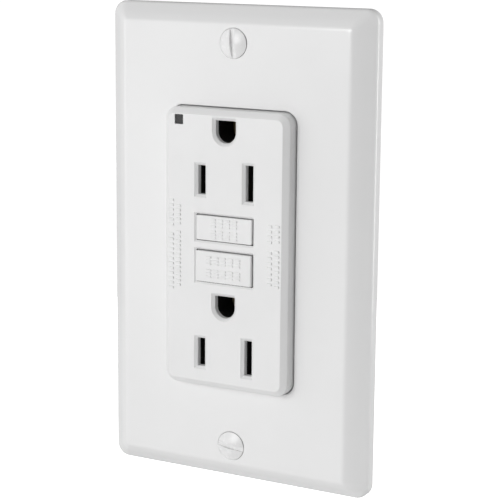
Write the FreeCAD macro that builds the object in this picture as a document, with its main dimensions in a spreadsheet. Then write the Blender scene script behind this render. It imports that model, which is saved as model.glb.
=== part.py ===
import FreeCAD, Part
import math
import os

import Sketcher

# A GFCI receptacle with its wall plate, in millimetres. +X is to the right, +Z is up and the face looks
# along -Y. The wall's surface is the plane Y = 0, and the origin is midway between the two box screws.

doc = FreeCAD.newDocument("gfci_outlet")
sheet = doc.addObject("Spreadsheet::Sheet", "sizes")
Vector = FreeCAD.Vector

# ---------------------------------------------------------------- sizes


class Size:
    """A length with its value and the expression that keeps it tied to the sheet."""

    def __init__(self, text, value):
        self.text = text
        self.value = value

    def combine(self, other, sign, swapped=False):
        left, right = (other, self) if swapped else (self, other)
        left_text, left_value = parts_of(left)
        right_text, right_value = parts_of(right)
        results = {
            "+": left_value + right_value,
            "-": left_value - right_value,
            "*": left_value * right_value,
        }
        if sign == "/":
            return Size(f"({left_text} / {right_text})", left_value / right_value)
        return Size(f"({left_text} {sign} {right_text})", results[sign])

    def __add__(self, other):
        return self.combine(other, "+")

    def __radd__(self, other):
        return self.combine(other, "+", swapped=True)

    def __sub__(self, other):
        return self.combine(other, "-")

    def __rsub__(self, other):
        return self.combine(other, "-", swapped=True)

    def __mul__(self, other):
        return self.combine(other, "*")

    def __rmul__(self, other):
        return self.combine(other, "*", swapped=True)

    def __truediv__(self, other):
        return self.combine(other, "/")

    def __neg__(self):
        return Size(f"(0 - {self.text})", -self.value)


def parts_of(length):
    """The expression text and the value of a Size or a plain number."""
    if isinstance(length, Size):
        return length.text, length.value
    return f"{length:.6g}" if length >= 0 else f"(0 - {-length:.6g})", float(length)


def value_of(length):
    return parts_of(length)[1]


def size(name, value):
    """Writes one driving dimension to the sheet and returns it."""
    row = len(sheet.getUsedCells()) // 2 + 1
    sheet.set(f"A{row}", name)
    sheet.set(f"B{row}", str(value))
    sheet.setAlias(f"B{row}", name)
    return Size(f"sizes.{name}", float(value))


middle = Size("0", 0.0)

# Wall plate: a standard single-gang plate, 2.75 by 4.5 inches
plate_width = size("plate_width", 69.85)
plate_height = size("plate_height", 114.3)
plate_depth = size("plate_depth", 6.6)
plate_side = size("plate_side", 2.8)
plate_corner = size("plate_corner", 3.2)
plate_wall = size("plate_wall", 1.9)
plate_hollow_side = size("plate_hollow_side", 1.5)
plate_edge_round = size("plate_edge_round", 0.8)
bevel_width = size("bevel_width", 5.1)
crease_corner = size("crease_corner", 0.6)
opening_gap = size("opening_gap", 0.25)

# Screws of the plate and of the wall box: 6-32
plate_screw_offset = size("plate_screw_offset", 48.42)
box_screw_offset = size("box_screw_offset", 41.67)
screw_radius = size("screw_radius", 1.75)
screw_clearance = size("screw_clearance", 0.15)
plate_screw_length = size("plate_screw_length", 12.0)
plate_head_radius = size("plate_head_radius", 3.5)
plate_head_dome = size("plate_head_dome", 0.9)
plate_head_gap = size("plate_head_gap", 0.12)
plate_boss_radius = size("plate_boss_radius", 4.8)
plate_boss_height = size("plate_boss_height", 0.4)
driver_slot_width = size("driver_slot_width", 0.95)
driver_slot_depth = size("driver_slot_depth", 1.2)
box_screw_reach = size("box_screw_reach", 24.0)
box_neck_radius = size("box_neck_radius", 1.4)
box_neck_end = size("box_neck_end", 0.3)
box_head_radius = size("box_head_radius", 3.4)
box_head_height = size("box_head_height", 1.9)
retainer_width = size("retainer_width", 9.0)
retainer_thickness = size("retainer_thickness", 0.8)

# Receptacle face
face_width = size("face_width", 33.1)
face_height = size("face_height", 66.6)
face_front = size("face_front", 10.4)
face_corner = size("face_corner", 3.0)
face_bevel = size("face_bevel", 1.6)
face_wall = size("face_wall", 2.4)
well_wall = size("well_wall", 1.1)

# Blade slots and ground holes: the 15 A, 125 V socket pattern, ground hole uppermost
upper_blades = size("upper_blades", 16.6)
lower_blades = size("lower_blades", -25.0)
blade_offset = size("blade_offset", 6.35)
slot_width = size("slot_width", 2.0)
hot_slot_height = size("hot_slot_height", 6.9)
neutral_slot_height = size("neutral_slot_height", 8.5)
slot_chamfer = size("slot_chamfer", 0.7)
ground_offset = size("ground_offset", 11.6)
ground_hole_radius = size("ground_hole_radius", 2.65)

# Housing stack, from the wall's surface backwards
housing_width = size("housing_width", 42.0)
housing_height = size("housing_height", 68.8)
housing_corner = size("housing_corner", 2.0)
housing_wall = size("housing_wall", 1.9)
housing_back_round = size("housing_back_round", 1.0)
flange_front = size("flange_front", 3.6)
middle_depth = size("middle_depth", 11.0)
rear_depth = size("rear_depth", 27.5)
cavity_width = size("cavity_width", 26.8)
post_x = size("post_x", 17.4)
post_z = size("post_z", 30.8)
boss_radius = size("boss_radius", 2.5)
boss_reach = size("boss_reach", 4.0)
boss_gap = size("boss_gap", 0.2)
housing_screw_radius = size("housing_screw_radius", 1.25)
housing_screw_gap = size("housing_screw_gap", 0.06)
housing_head_radius = size("housing_head_radius", 2.3)
housing_head_height = size("housing_head_height", 1.4)
housing_head_sink = size("housing_head_sink", 1.8)

# Mounting yoke
yoke_thickness = size("yoke_thickness", 1.3)
yoke_length = size("yoke_length", 106.0)
yoke_width = size("yoke_width", 38.0)
yoke_shoulder = size("yoke_shoulder", 88.0)
ear_width = size("ear_width", 25.0)
box_slot_length = size("box_slot_length", 6.4)
window_margin = size("window_margin", 1.4)

# Buttons
button_width = size("button_width", 14.8)
button_gap = size("button_gap", 0.15)
test_height = size("test_height", 5.9)
test_centre = size("test_centre", 5.35)
test_proud = size("test_proud", 0.15)
test_travel = size("test_travel", 1.2)
reset_height = size("reset_height", 7.4)
reset_centre = size("reset_centre", -3.85)
reset_proud = size("reset_proud", 0.6)
reset_travel = size("reset_travel", 2.7)
button_edge_round = size("button_edge_round", 0.35)
frame_chamfer = size("frame_chamfer", 0.45)
button_flange = size("button_flange", 0.75)
button_flange_thickness = size("button_flange_thickness", 1.0)

# Indicator light
lens_x = size("lens_x", -12.25)
lens_z = size("lens_z", 30.55)
lens_width = size("lens_width", 2.1)
lens_gap = size("lens_gap", 0.1)
lens_recess = size("lens_recess", 0.35)
lens_reach = size("lens_reach", 17.0)

# Contacts
blade_gap = size("blade_gap", 1.2)
leaf_thickness = size("leaf_thickness", 0.7)
leaf_front = size("leaf_front", 1.0)
contact_base = size("contact_base", 9.5)
rail_x = size("rail_x", 10.6)
rail_depth = size("rail_depth", 6.0)
contact_pocket_gap = size("contact_pocket_gap", 0.4)
pad_x = size("pad_x", 7.5)
pad_z = size("pad_z", 2.0)
pad_radius = size("pad_radius", 1.4)
pad_thickness = size("pad_thickness", 0.42)
ground_grip = size("ground_grip", 4.4)
ground_leaf_length = size("ground_leaf_length", 11.0)
ground_base_width = size("ground_base_width", 13.6)
ground_base_height = size("ground_base_height", 6.6)
rivet_x = size("rivet_x", 5.4)
rivet_radius = size("rivet_radius", 0.9)
rivet_head_radius = size("rivet_head_radius", 1.35)
rivet_head_height = size("rivet_head_height", 0.5)

# Terminals
terminal_z = size("terminal_z", 20.0)
terminal_half = size("terminal_half", 6.8)
terminal_front = size("terminal_front", 3.0)
terminal_back = size("terminal_back", 14.5)
terminal_x = size("terminal_x", 17.2)
terminal_thickness = size("terminal_thickness", 1.0)
clamp_x = size("clamp_x", 13.6)
clamp_thickness = size("clamp_thickness", 1.0)
terminal_screw_radius = size("terminal_screw_radius", 2.05)
terminal_head_radius = size("terminal_head_radius", 3.8)
terminal_head_height = size("terminal_head_height", 2.4)
terminal_head_x = size("terminal_head_x", 19.7)
terminal_screw_y = size("terminal_screw_y", 8.6)
wire_hole_radius = size("wire_hole_radius", 1.3)
wire_hole_offset = size("wire_hole_offset", 4.3)
ground_screw_x = size("ground_screw_x", -13.0)
ground_screw_z = size("ground_screw_z", -38.6)
ground_head_radius = size("ground_head_radius", 3.4)
ground_head_height = size("ground_head_height", 2.2)
load_tab_height = size("load_tab_height", 3.0)
bus_front = size("bus_front", 13.1)
bus_thickness = size("bus_thickness", 0.8)
bus_gap = size("bus_gap", 0.4)
bus_width = size("bus_width", 1.5)

# Tripping mechanism
pin_radius = size("pin_radius", 1.4)
pin_groove_radius = size("pin_groove_radius", 0.85)
pin_cone = size("pin_cone", 0.4)
pin_head = size("pin_head", 0.4)
pin_groove = size("pin_groove", 2.3)
pin_gap = size("pin_gap", 0.25)
latch_front = size("latch_front", 12.0)
latch_thickness = size("latch_thickness", 0.5)
latch_standoff = size("latch_standoff", 1.2)
latch_stroke = size("latch_stroke", 0.9)
latch_half = size("latch_half", 2.9)
latch_tab_height = size("latch_tab_height", 3.9)
carriage_travel = size("carriage_travel", 1.0)
carriage_half = size("carriage_half", 4.4)
carriage_height = size("carriage_height", 7.4)
carriage_front = size("carriage_front", 10.4)
carriage_back = size("carriage_back", 14.0)
arm_pivot_z = size("arm_pivot_z", -17.6)
arm_front = size("arm_front", 12.6)
arm_thickness = size("arm_thickness", 0.4)
arm_width = size("arm_width", 3.0)
arm_slack = size("arm_slack", 0.25)
spring_seat = size("spring_seat", 3.0)
reset_spring_radius = size("reset_spring_radius", 2.5)
reset_spring_wire = size("reset_spring_wire", 0.3)
solenoid_y = size("solenoid_y", 16.9)
solenoid_low = size("solenoid_low", 6.6)
solenoid_high = size("solenoid_high", 20.6)
solenoid_frame_half = size("solenoid_frame_half", 4.6)
solenoid_sheet = size("solenoid_sheet", 0.8)
coil_radius = size("coil_radius", 3.4)
bobbin_wall = size("bobbin_wall", 0.5)
plunger_radius = size("plunger_radius", 1.5)
plunger_gap = size("plunger_gap", 0.1)
plunger_neck_radius = size("plunger_neck_radius", 0.8)
plunger_spring_length = size("plunger_spring_length", 2.6)
plunger_spring_wire = size("plunger_spring_wire", 0.15)
test_leaf_root = size("test_leaf_root", -8.3)
test_leaf_end = size("test_leaf_end", 3.4)
test_leaf_front = size("test_leaf_front", 0.3)
test_leaf_thickness = size("test_leaf_thickness", 0.3)
test_leaf_width = size("test_leaf_width", 2.4)
test_pin_x = size("test_pin_x", 2.5)
test_pin_radius = size("test_pin_radius", 0.5)
test_post_offset = size("test_post_offset", 0.8)

# Sensor and circuit board
board_front = size("board_front", 21.2)
board_thickness = size("board_thickness", 1.2)
board_width = size("board_width", 26.0)
board_height = size("board_height", 62.0)
sensor_z = size("sensor_z", -22.0)
ring_outer = size("ring_outer", 6.4)
ring_inner = size("ring_inner", 3.0)
ring_thickness = size("ring_thickness", 2.5)
boat_wall = size("boat_wall", 0.6)
capacitor_x = size("capacitor_x", 9.8)
capacitor_z = size("capacitor_z", 12.5)
capacitor_width = size("capacitor_width", 3.6)
capacitor_height = size("capacitor_height", 7.0)
capacitor_depth = size("capacitor_depth", 5.8)
varistor_x = size("varistor_x", -10.2)
varistor_z = size("varistor_z", 13.0)
varistor_radius = size("varistor_radius", 4.0)
varistor_thickness = size("varistor_thickness", 2.8)
thyristor_x = size("thyristor_x", -9.5)
thyristor_z = size("thyristor_z", -3.6)
thyristor_width = size("thyristor_width", 4.2)
thyristor_height = size("thyristor_height", 2.8)
thyristor_depth = size("thyristor_depth", 4.6)
chip_z = size("chip_z", -3.0)
chip_width = size("chip_width", 5.0)
chip_height = size("chip_height", 10.0)
chip_thickness = size("chip_thickness", 1.5)
resistor_top = size("resistor_top", -1.0)
resistor_length = size("resistor_length", 5.0)
resistor_radius = size("resistor_radius", 1.1)
resistor_step = size("resistor_step", 7.0)
first_resistor_x = size("first_resistor_x", 9.0)
last_resistor_x = size("last_resistor_x", 11.6)

# ---------------------------------------------------------------- helpers


def bind(item, name, length):
    item.setExpression(name, parts_of(length)[0])


def place(item, x, y, z):
    for axis, length in (("x", x), ("y", y), ("z", z)):
        bind(item, f".Placement.Base.{axis}", length)


def box(x, y, z):
    """A block between two values along each axis."""
    item = doc.addObject("Part::Box", "block")
    for name, (low, high) in (("Length", x), ("Width", y), ("Height", z)):
        bind(item, name, high - low)
    place(item, x[0], y[0], z[0])
    return item


TURNS = {
    "x": FreeCAD.Rotation(Vector(0, 1, 0), 90),
    "y": FreeCAD.Rotation(Vector(1, 0, 0), -90),
    "z": FreeCAD.Rotation(),
}


def rod(axis, radius, low, high, x=0.0, y=0.0, z=0.0):
    """A cylinder along an axis, from low to high; x, y and z give its other two places."""
    item = doc.addObject("Part::Cylinder", "rod")
    item.Placement = FreeCAD.Placement(Vector(), TURNS[axis])
    bind(item, "Radius", radius)
    bind(item, "Height", high - low)
    spot = {"x": x, "y": y, "z": z, axis: low}
    place(item, spot["x"], spot["y"], spot["z"])
    return item


def cone(axis, low_radius, high_radius, low, high, x=0.0, y=0.0, z=0.0):
    item = doc.addObject("Part::Cone", "cone")
    item.Placement = FreeCAD.Placement(Vector(), TURNS[axis])
    bind(item, "Radius1", low_radius)
    bind(item, "Radius2", high_radius)
    bind(item, "Height", high - low)
    spot = {"x": x, "y": y, "z": z, axis: low}
    place(item, spot["x"], spot["y"], spot["z"])
    return item


def fuse(*items):
    if len(items) == 1:
        return items[0]
    item = doc.addObject("Part::MultiFuse", "joined")
    item.Shapes = list(items)
    item.Refine = True
    return item


def cut(base, *tools):
    item = doc.addObject("Part::Cut", "cut")
    item.Base = base
    item.Tool = fuse(*tools)
    item.Refine = True
    return item


def group(*items):
    item = doc.addObject("Part::Compound", "group")
    item.Links = list(items)
    return item


def mirrored(span):
    low, high = span
    return (-high, -low)


def to_side(span, side):
    """The span as given on the right (side 1), or mirrored to the left (side -1)."""
    return span if side > 0 else mirrored(span)


def about(centre, half):
    return (centre - half, centre + half)


def grown(span, margin):
    low, high = span
    return (low - margin, high + margin)


def centred(width):
    return (-width / 2, width / 2)


def driver_slot(depths, half, turn, z):
    """A block through the axis of a screw that faces the front, turned about that axis."""
    straight = box(centred(driver_slot_width), depths, (-half, half))
    turned = doc.addObject("Part::Compound", "turned_slot")
    turned.Links = [straight]
    turned.Placement = FreeCAD.Placement(Vector(), FreeCAD.Rotation(Vector(0, 1, 0), turn))
    bind(turned, ".Placement.Base.z", z)
    return turned


sub_parts = []


def finish(item, name):
    """Names a finished sub-part; the name is also its file's name."""
    item.Label = name
    sub_parts.append(item)
    return item


def body(name):
    return doc.addObject("PartDesign::Body", name)


def origin_plane(owner, role):
    return next(f for f in owner.Origin.OriginFeatures if f.Role == role)


def sketch_at(owner, depth):
    """A sketch facing the front, at Y = depth, drawn in X and Z."""
    item = owner.newObject("Sketcher::SketchObject", "outline")
    item.AttachmentSupport = (origin_plane(owner, "XZ_Plane"), [""])
    item.MapMode = "FlatFace"
    bind(item, ".AttachmentOffset.Base.z", -depth)
    return item


def hold(item, kind, *where):
    """Adds a driving constraint whose value follows a size."""
    *spots, length = where
    index = item.addConstraint(Sketcher.Constraint(kind, *spots, value_of(length)))
    if isinstance(length, Size):
        bind(item, f"Constraints[{index}]", length)


def rectangle(item, x, z):
    """Draws a rectangle between two values across and two up."""
    (left, right), (low, high) = x, z
    corners = [(left, low), (right, low), (right, high), (left, high)]
    points = [Vector(value_of(a), value_of(b), 0) for a, b in corners]
    first = item.GeometryCount
    for start, end in zip(points, points[1:] + points[:1]):
        item.addGeometry(Part.LineSegment(start, end), False)
    for side in range(4):
        item.addConstraint(Sketcher.Constraint("Coincident", first + side, 2, first + (side + 1) % 4, 1))
    for side in (0, 2):
        item.addConstraint(Sketcher.Constraint("Horizontal", first + side))
        item.addConstraint(Sketcher.Constraint("Vertical", first + side + 1))
    hold(item, "DistanceX", first, 1, left)
    hold(item, "DistanceY", first, 1, low)
    hold(item, "DistanceX", first + 2, 1, right)
    hold(item, "DistanceY", first + 2, 1, high)


def rounded(item, width, height, radius):
    """Draws a rectangle centred on the origin with rounded corners."""
    w, h, r = value_of(width) / 2, value_of(height) / 2, value_of(radius)
    quarter = math.pi / 2
    sides = [
        ((-w + r, -h), (w - r, -h)),
        ((w, -h + r), (w, h - r)),
        ((w - r, h), (-w + r, h)),
        ((-w, h - r), (-w, -h + r)),
    ]
    centres = [(w - r, -h + r), (w - r, h - r), (-w + r, h - r), (-w + r, -h + r)]
    for (start, end), centre, turn in zip(sides, centres, (-1, 0, 1, 2)):
        item.addGeometry(Part.LineSegment(Vector(*start, 0), Vector(*end, 0)), False)
        circle = Part.Circle(Vector(*centre, 0), Vector(0, 0, 1), r)
        item.addGeometry(Part.ArcOfCircle(circle, turn * quarter, (turn + 1) * quarter), False)
    for side in range(4):
        line, arc, after = 2 * side, 2 * side + 1, (2 * side + 2) % 8
        item.addConstraint(Sketcher.Constraint("Tangent", line, 2, arc, 1))
        item.addConstraint(Sketcher.Constraint("Tangent", arc, 2, after, 1))
    for line in (0, 4):
        item.addConstraint(Sketcher.Constraint("Horizontal", line))
        item.addConstraint(Sketcher.Constraint("Vertical", line + 2))
    for arc in (3, 5, 7):
        item.addConstraint(Sketcher.Constraint("Equal", 1, arc))
    hold(item, "Radius", 1, radius)
    hold(item, "DistanceY", 0, 1, -height / 2)
    hold(item, "DistanceX", 2, 1, width / 2)
    hold(item, "DistanceY", 4, 1, height / 2)
    hold(item, "DistanceX", 6, 1, -width / 2)


def disc(item, x, z, radius):
    first = item.GeometryCount
    spot = Vector(value_of(x), value_of(z), 0)
    item.addGeometry(Part.Circle(spot, Vector(0, 0, 1), value_of(radius)), False)
    hold(item, "DistanceX", first, 3, x)
    hold(item, "DistanceY", first, 3, z)
    hold(item, "Radius", first, radius)


def add(owner, item, length, kind="PartDesign::Pad"):
    """Pads the sketch forwards, towards -Y, by a length; as a Pocket it cuts backwards instead."""
    feature = owner.newObject(kind, "feature")
    feature.Profile = item
    bind(feature, "Length", length)
    item.Visibility = False
    doc.recompute()
    return feature


def carve(owner, item, length):
    before = owner.Shape.Volume
    add(owner, item, length, "PartDesign::Pocket")
    if owner.Shape.Volume >= before:
        raise RuntimeError(f"a pocket of {owner.Name} cut nothing")


def slab(owner, back, front, draw):
    """Adds material between two depths, over the outline that draw makes."""
    item = sketch_at(owner, back)
    draw(item)
    add(owner, item, back - front)


def pocket(owner, front, back, draw):
    """Removes material between two depths, over the outline that draw makes."""
    item = sketch_at(owner, front)
    draw(item)
    carve(owner, item, back - front)


def loft(owner, kind, first, second):
    """Lofts between two rounded rectangles, each given as depth, width, height and corner radius."""
    outlines = []
    for depth, width, height, radius in (first, second):
        item = sketch_at(owner, depth)
        rounded(item, width, height, radius)
        outlines.append(item)
    feature = owner.newObject(kind, "taper")
    feature.Profile = outlines[0]
    feature.Sections = [outlines[1]]
    feature.Ruled = True
    doc.recompute()


def dress(owner, kind, length, wanted):
    """Fillets or chamfers the edges for which wanted(edge) is true."""
    names = [f"Edge{i}" for i, edge in enumerate(owner.Shape.Edges, 1) if wanted(edge)]
    if not names:
        raise RuntimeError(f"no edge of {owner.Name} to dress")
    base = owner.Tip
    feature = owner.newObject(kind, "dressed")
    feature.Base = (base, names)
    bind(feature, "Size" if kind.endswith("Chamfer") else "Radius", length)
    owner.Tip = feature
    doc.recompute()


CLOSE = 1e-3


def lies_at_depth(depth):
    """True for edges that lie wholly in the plane Y = depth."""
    level = value_of(depth)
    return lambda edge: abs(edge.BoundBox.YMin - level) < CLOSE and abs(edge.BoundBox.YMax - level) < CLOSE


def inside(edge, x, z, margin=0.1):
    """True when the edge's outline lies within a rectangle seen from the front."""
    limits = edge.BoundBox
    (left, right), (low, high) = [[value_of(v) for v in span] for span in (x, z)]
    across = left - margin < limits.XMin and limits.XMax < right + margin
    return across and low - margin < limits.ZMin and limits.ZMax < high + margin


# ---------------------------------------------------------------- places shared by several sub-parts

hot_x = -blade_offset
neutral_x = blade_offset
blade_rows = (upper_blades, lower_blades)
ground_rows = (upper_blades + ground_offset, lower_blades + ground_offset)
blade_slots = [
    (about(x, slot_width / 2), about(row, height / 2))
    for row in blade_rows
    for x, height in ((hot_x, hot_slot_height), (neutral_x, neutral_slot_height))
]
opening_width = face_width + 2 * opening_gap
opening_height = face_height + 2 * opening_gap
face_back_of_wall = -(face_front - face_wall)
posts = [(x, z) for x in (-post_x, post_x) for z in (-post_z, post_z)]
test_z = about(test_centre, test_height / 2)
reset_z = about(reset_centre, reset_height / 2)
button_x = about(middle, button_width / 2)
latch_tab_z = (latch_tab_height, latch_tab_height + latch_thickness)
test_post_x = test_leaf_root - test_post_offset
contact_back = contact_base + leaf_thickness
load_tab_z = (upper_blades, upper_blades + load_tab_height)
wire_x = (clamp_x + clamp_thickness + terminal_x) / 2
side_names = {-1: "hot", 1: "neutral"}


# ---------------------------------------------------------------- wall plate and its screws


def make_wall_plate():
    """Moulded cover: upright rim, wide bevel, flat front, hollow behind, with the receptacle's opening."""
    plate = body("wall_plate")
    slab(plate, 0.0, -plate_side, lambda s: rounded(s, plate_width, plate_height, plate_corner))
    loft(
        plate,
        "PartDesign::AdditiveLoft",
        (-plate_side, plate_width, plate_height, plate_corner),
        (-plate_depth, plate_width - 2 * bevel_width, plate_height - 2 * bevel_width, crease_corner),
    )
    hollow_width = plate_width - 2 * plate_wall
    hollow_height = plate_height - 2 * plate_wall
    hollow_corner = plate_corner - plate_wall
    step = 2 * (bevel_width + plate_wall / 2)
    pocket(plate, -plate_hollow_side, 0.0, lambda s: rounded(s, hollow_width, hollow_height, hollow_corner))
    loft(
        plate,
        "PartDesign::SubtractiveLoft",
        (-plate_hollow_side, hollow_width, hollow_height, hollow_corner),
        (-(plate_depth - plate_wall), plate_width - step, plate_height - step, crease_corner),
    )
    screw_z = (plate_screw_offset, -plate_screw_offset)
    boss_back = -(plate_depth - plate_wall) + plate_boss_height
    boss_front = -(plate_depth - plate_wall / 2)
    for z in screw_z:
        slab(plate, boss_back, boss_front, lambda s: disc(s, middle, z, plate_boss_radius))
    opening = (opening_width, opening_height, face_corner + opening_gap)
    pocket(plate, -plate_depth, 0.0, lambda s: rounded(s, *opening))
    hole_radius = screw_radius + screw_clearance
    for z in screw_z:
        pocket(plate, -plate_depth, 0.0, lambda s: disc(s, middle, z, hole_radius))
    front = lies_at_depth(-plate_depth)
    sunk = plate_head_radius + plate_head_gap - hole_radius
    narrow = centred(2 * plate_boss_radius)
    for z in screw_z:
        rim = about(z, plate_boss_radius)
        dress(plate, "PartDesign::Chamfer", sunk, lambda e: front(e) and inside(e, narrow, rim))
    side_edge = lies_at_depth(-plate_side)
    dress(plate, "PartDesign::Fillet", plate_edge_round, side_edge)
    finish(plate, "wall_plate")


# Which way each plate screw happens to have stopped, in degrees from upright: 1 is the upper one
slot_turns = {1: 2.0, -1: 80.0}
box_slot_turn = 45.0


def make_plate_screws():
    """Oval-head screws: a sunk cone, a domed top with a driver slot and a plain shank."""
    screws = []
    for side, turn in slot_turns.items():
        z = side * plate_screw_offset
        sunk = plate_head_radius - screw_radius
        rise = plate_head_dome
        ball_radius = (plate_head_radius * plate_head_radius + rise * rise) / (2 * rise)
        ball = doc.addObject("Part::Sphere", "dome")
        bind(ball, "Radius", ball_radius)
        place(ball, 0.0, -plate_depth - rise + ball_radius, z)
        cap = doc.addObject("Part::Common", "cap")
        cap.Base = ball
        around = 2 * plate_head_radius
        cap.Tool = box((-around, around), (-plate_depth - 2 * rise, -plate_depth), (z - around, z + around))
        neck = cone("y", plate_head_radius, screw_radius, -plate_depth, -plate_depth + sunk, z=z)
        shank = rod("y", screw_radius, -plate_depth + sunk, -plate_depth + plate_screw_length, z=z)
        half = plate_head_radius + plate_head_gap
        depths = (-plate_depth - 2 * rise, -plate_depth - rise + driver_slot_depth)
        screws.append(cut(fuse(cap, neck, shank), driver_slot(depths, half, turn, z)))
    finish(group(*screws), "plate_screws")


def make_box_screws():
    """Long screws into the wall box, heads on the washers, with a thinner neck up to the thread."""
    screws = []
    head_back = -yoke_thickness - retainer_thickness
    head_front = head_back - box_head_height
    for z in (box_screw_offset, -box_screw_offset):
        head = rod("y", box_head_radius, head_front, head_back, z=z)
        neck = rod("y", box_neck_radius, head_back, box_neck_end, z=z)
        shank = rod("y", screw_radius, box_neck_end, box_screw_reach, z=z)
        depths = (head_front - driver_slot_depth, head_front + driver_slot_depth)
        slot = driver_slot(depths, box_head_radius + plate_head_gap, box_slot_turn, z)
        screws.append(cut(fuse(head, neck, shank), slot))
    finish(group(*screws), "box_screws")


def make_screw_retainers():
    """Square fibre washers between the heads and the yoke, which keep the box screws in place."""
    washers = []
    front = -yoke_thickness - retainer_thickness
    for z in (box_screw_offset, -box_screw_offset):
        square = box(centred(retainer_width), (front, -yoke_thickness), about(z, retainer_width / 2))
        hole = rod("y", screw_radius + screw_clearance, front - retainer_thickness, 0.0, z=z)
        washers.append(cut(square, hole))
    finish(group(*washers), "screw_retainers")


# ---------------------------------------------------------------- receptacle face and buttons


def round_top_hole(owner, front, back, row):
    """A ground hole: flat on top, round below."""
    pocket(owner, front, back, lambda s: disc(s, middle, row, ground_hole_radius))
    flat_top = (row, row + ground_hole_radius)
    pocket(owner, front, back, lambda s: rectangle(s, about(middle, ground_hole_radius), flat_top))


def make_front_cover():
    """Moulded face on a flange: slots with wells behind them, button openings and four screw bosses."""
    cover = body("front_cover")
    flange = (housing_width, housing_height, housing_corner)
    slab(cover, -yoke_thickness, -flange_front, lambda s: rounded(s, *flange))
    slab(cover, -yoke_thickness, -face_front, lambda s: rounded(s, face_width, face_height, face_corner))
    front = lies_at_depth(-face_front)
    dress(cover, "PartDesign::Chamfer", face_bevel, front)
    hollow = (face_width - 2 * face_wall, face_height - 2 * face_wall, face_corner / 2)
    pocket(cover, face_back_of_wall, -yoke_thickness, lambda s: rounded(s, *hollow))
    wells = [(grown(x, well_wall), grown(z, well_wall)) for x, z in blade_slots]
    well = ground_hole_radius + well_wall
    wells += [(about(middle, well), about(row, well)) for row in ground_rows]
    for x, z in wells:
        slab(cover, -yoke_thickness, face_back_of_wall - face_wall / 2, lambda s: rectangle(s, x, z))
    for x, z in posts:
        slab(cover, boss_reach, -flange_front + housing_screw_radius, lambda s: disc(s, x, z, boss_radius))
        hole = housing_screw_radius + housing_screw_gap
        pocket(cover, -flange_front + housing_screw_radius, boss_reach, lambda s: disc(s, x, z, hole))
    for x, z in blade_slots:
        pocket(cover, -face_front, 0.0, lambda s: rectangle(s, x, z))
    for row in ground_rows:
        round_top_hole(cover, -face_front, 0.0, row)
    lens = lens_width / 2 + lens_gap
    pocket(cover, -face_front, 0.0, lambda s: rectangle(s, about(lens_x, lens), about(lens_z, lens)))
    openings = [(grown(button_x, button_gap), grown(z, button_gap)) for z in (test_z, reset_z)]
    for x, z in openings:
        pocket(cover, -face_front, face_back_of_wall, lambda s: rectangle(s, x, z))
        dress(cover, "PartDesign::Chamfer", frame_chamfer, lambda e: front(e) and inside(e, x, z))
    across = about(middle, ground_hole_radius)
    ground_outlines = [(across, about(row, ground_hole_radius)) for row in ground_rows]
    for x, z in blade_slots + ground_outlines:
        dress(cover, "PartDesign::Chamfer", slot_chamfer, lambda e: front(e) and inside(e, x, z))
    finish(cover, "front_cover")


def make_button(name, z, proud):
    """A button cap with a flange behind it that keeps it in its opening."""
    button = body(name)
    cap_front = -face_front - proud
    flange_face = face_back_of_wall + button_gap
    flange_back = flange_face + button_flange_thickness
    slab(button, flange_back, cap_front, lambda s: rectangle(s, button_x, z))
    front = lies_at_depth(cap_front)
    dress(button, "PartDesign::Fillet", button_edge_round, front)
    flange = (grown(button_x, button_flange), grown(z, button_flange))
    slab(button, flange_back, flange_face, lambda s: rectangle(s, *flange))
    return button, flange_back


def make_test_button():
    button, back = make_button("test_button", test_z, test_proud)
    shoulder = -yoke_thickness
    nose = test_leaf_front - arm_slack
    slab(button, shoulder, back, lambda s: disc(s, middle, test_centre, pin_radius))
    slab(button, nose, shoulder, lambda s: disc(s, middle, test_centre, pin_radius / 2))
    finish(button, "test_button")


def make_reset_button():
    button, back = make_button("reset_button", reset_z, reset_proud)
    seat = back - 2 * button_flange_thickness
    pocket(button, seat, back, lambda s: disc(s, middle, reset_centre, pin_radius))
    finish(button, "reset_button")
    make_reset_pin(seat)
    ends = (back + reset_spring_wire, spring_seat)
    make_spring("reset_spring", "y", reset_spring_radius, reset_spring_wire, *ends, reset_centre, 7)


def make_reset_pin(start):
    """Steel pin: shaft, groove for the latch plate, head and pointed tip."""
    tip = latch_front - latch_standoff
    head_end = tip - pin_cone
    head_start = head_end - pin_head
    groove_start = head_start - pin_groove
    pin = fuse(
        rod("y", pin_radius, start, groove_start, z=reset_centre),
        rod("y", pin_groove_radius, groove_start, head_start, z=reset_centre),
        rod("y", pin_radius, head_start, head_end, z=reset_centre),
        cone("y", pin_radius, pin_radius - pin_cone, head_end, tip, z=reset_centre),
    )
    finish(pin, "reset_pin")


def make_spring(name, axis, radius, wire, low, high, z, turns, y=0.0):
    """A compression spring of round wire, wound about an axis between two places."""
    coil = doc.addObject("Part::Helix", "coil")
    length = high - low - 2 * wire
    bind(coil, "Height", length)
    bind(coil, "Pitch", length / turns)
    bind(coil, "Radius", radius)
    section = doc.addObject("Part::Circle", "section")
    section.Placement = FreeCAD.Placement(Vector(), FreeCAD.Rotation(Vector(1, 0, 0), 90))
    bind(section, "Radius", wire)
    bind(section, ".Placement.Base.x", radius)
    winding = doc.addObject("Part::Sweep", "winding")
    winding.Sections = [section]
    winding.Spine = (coil, [])
    winding.Solid = True
    winding.Frenet = True
    turned = doc.addObject("Part::Compound", "turned_spring")
    turned.Links = [winding]
    turned.Placement = FreeCAD.Placement(Vector(), TURNS[axis])
    spot = {"y": (0.0, low + wire, z), "z": (0.0, y, low + wire)}[axis]
    place(turned, *spot)
    finish(turned, name)


def make_indicator():
    """Light pipe from the face's window to the lamp on the board."""
    half = lens_width / 2
    pipe = box(about(lens_x, half), (-face_front + lens_recess, lens_reach), about(lens_z, half))
    finish(pipe, "indicator_lens")
    lamp_x = (-board_width / 2, -board_width / 2 + lens_width)
    lamp_z = (lens_z - half, board_height / 2)
    finish(box(lamp_x, (lens_reach + lens_gap, board_front), lamp_z), "indicator_led")


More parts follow.
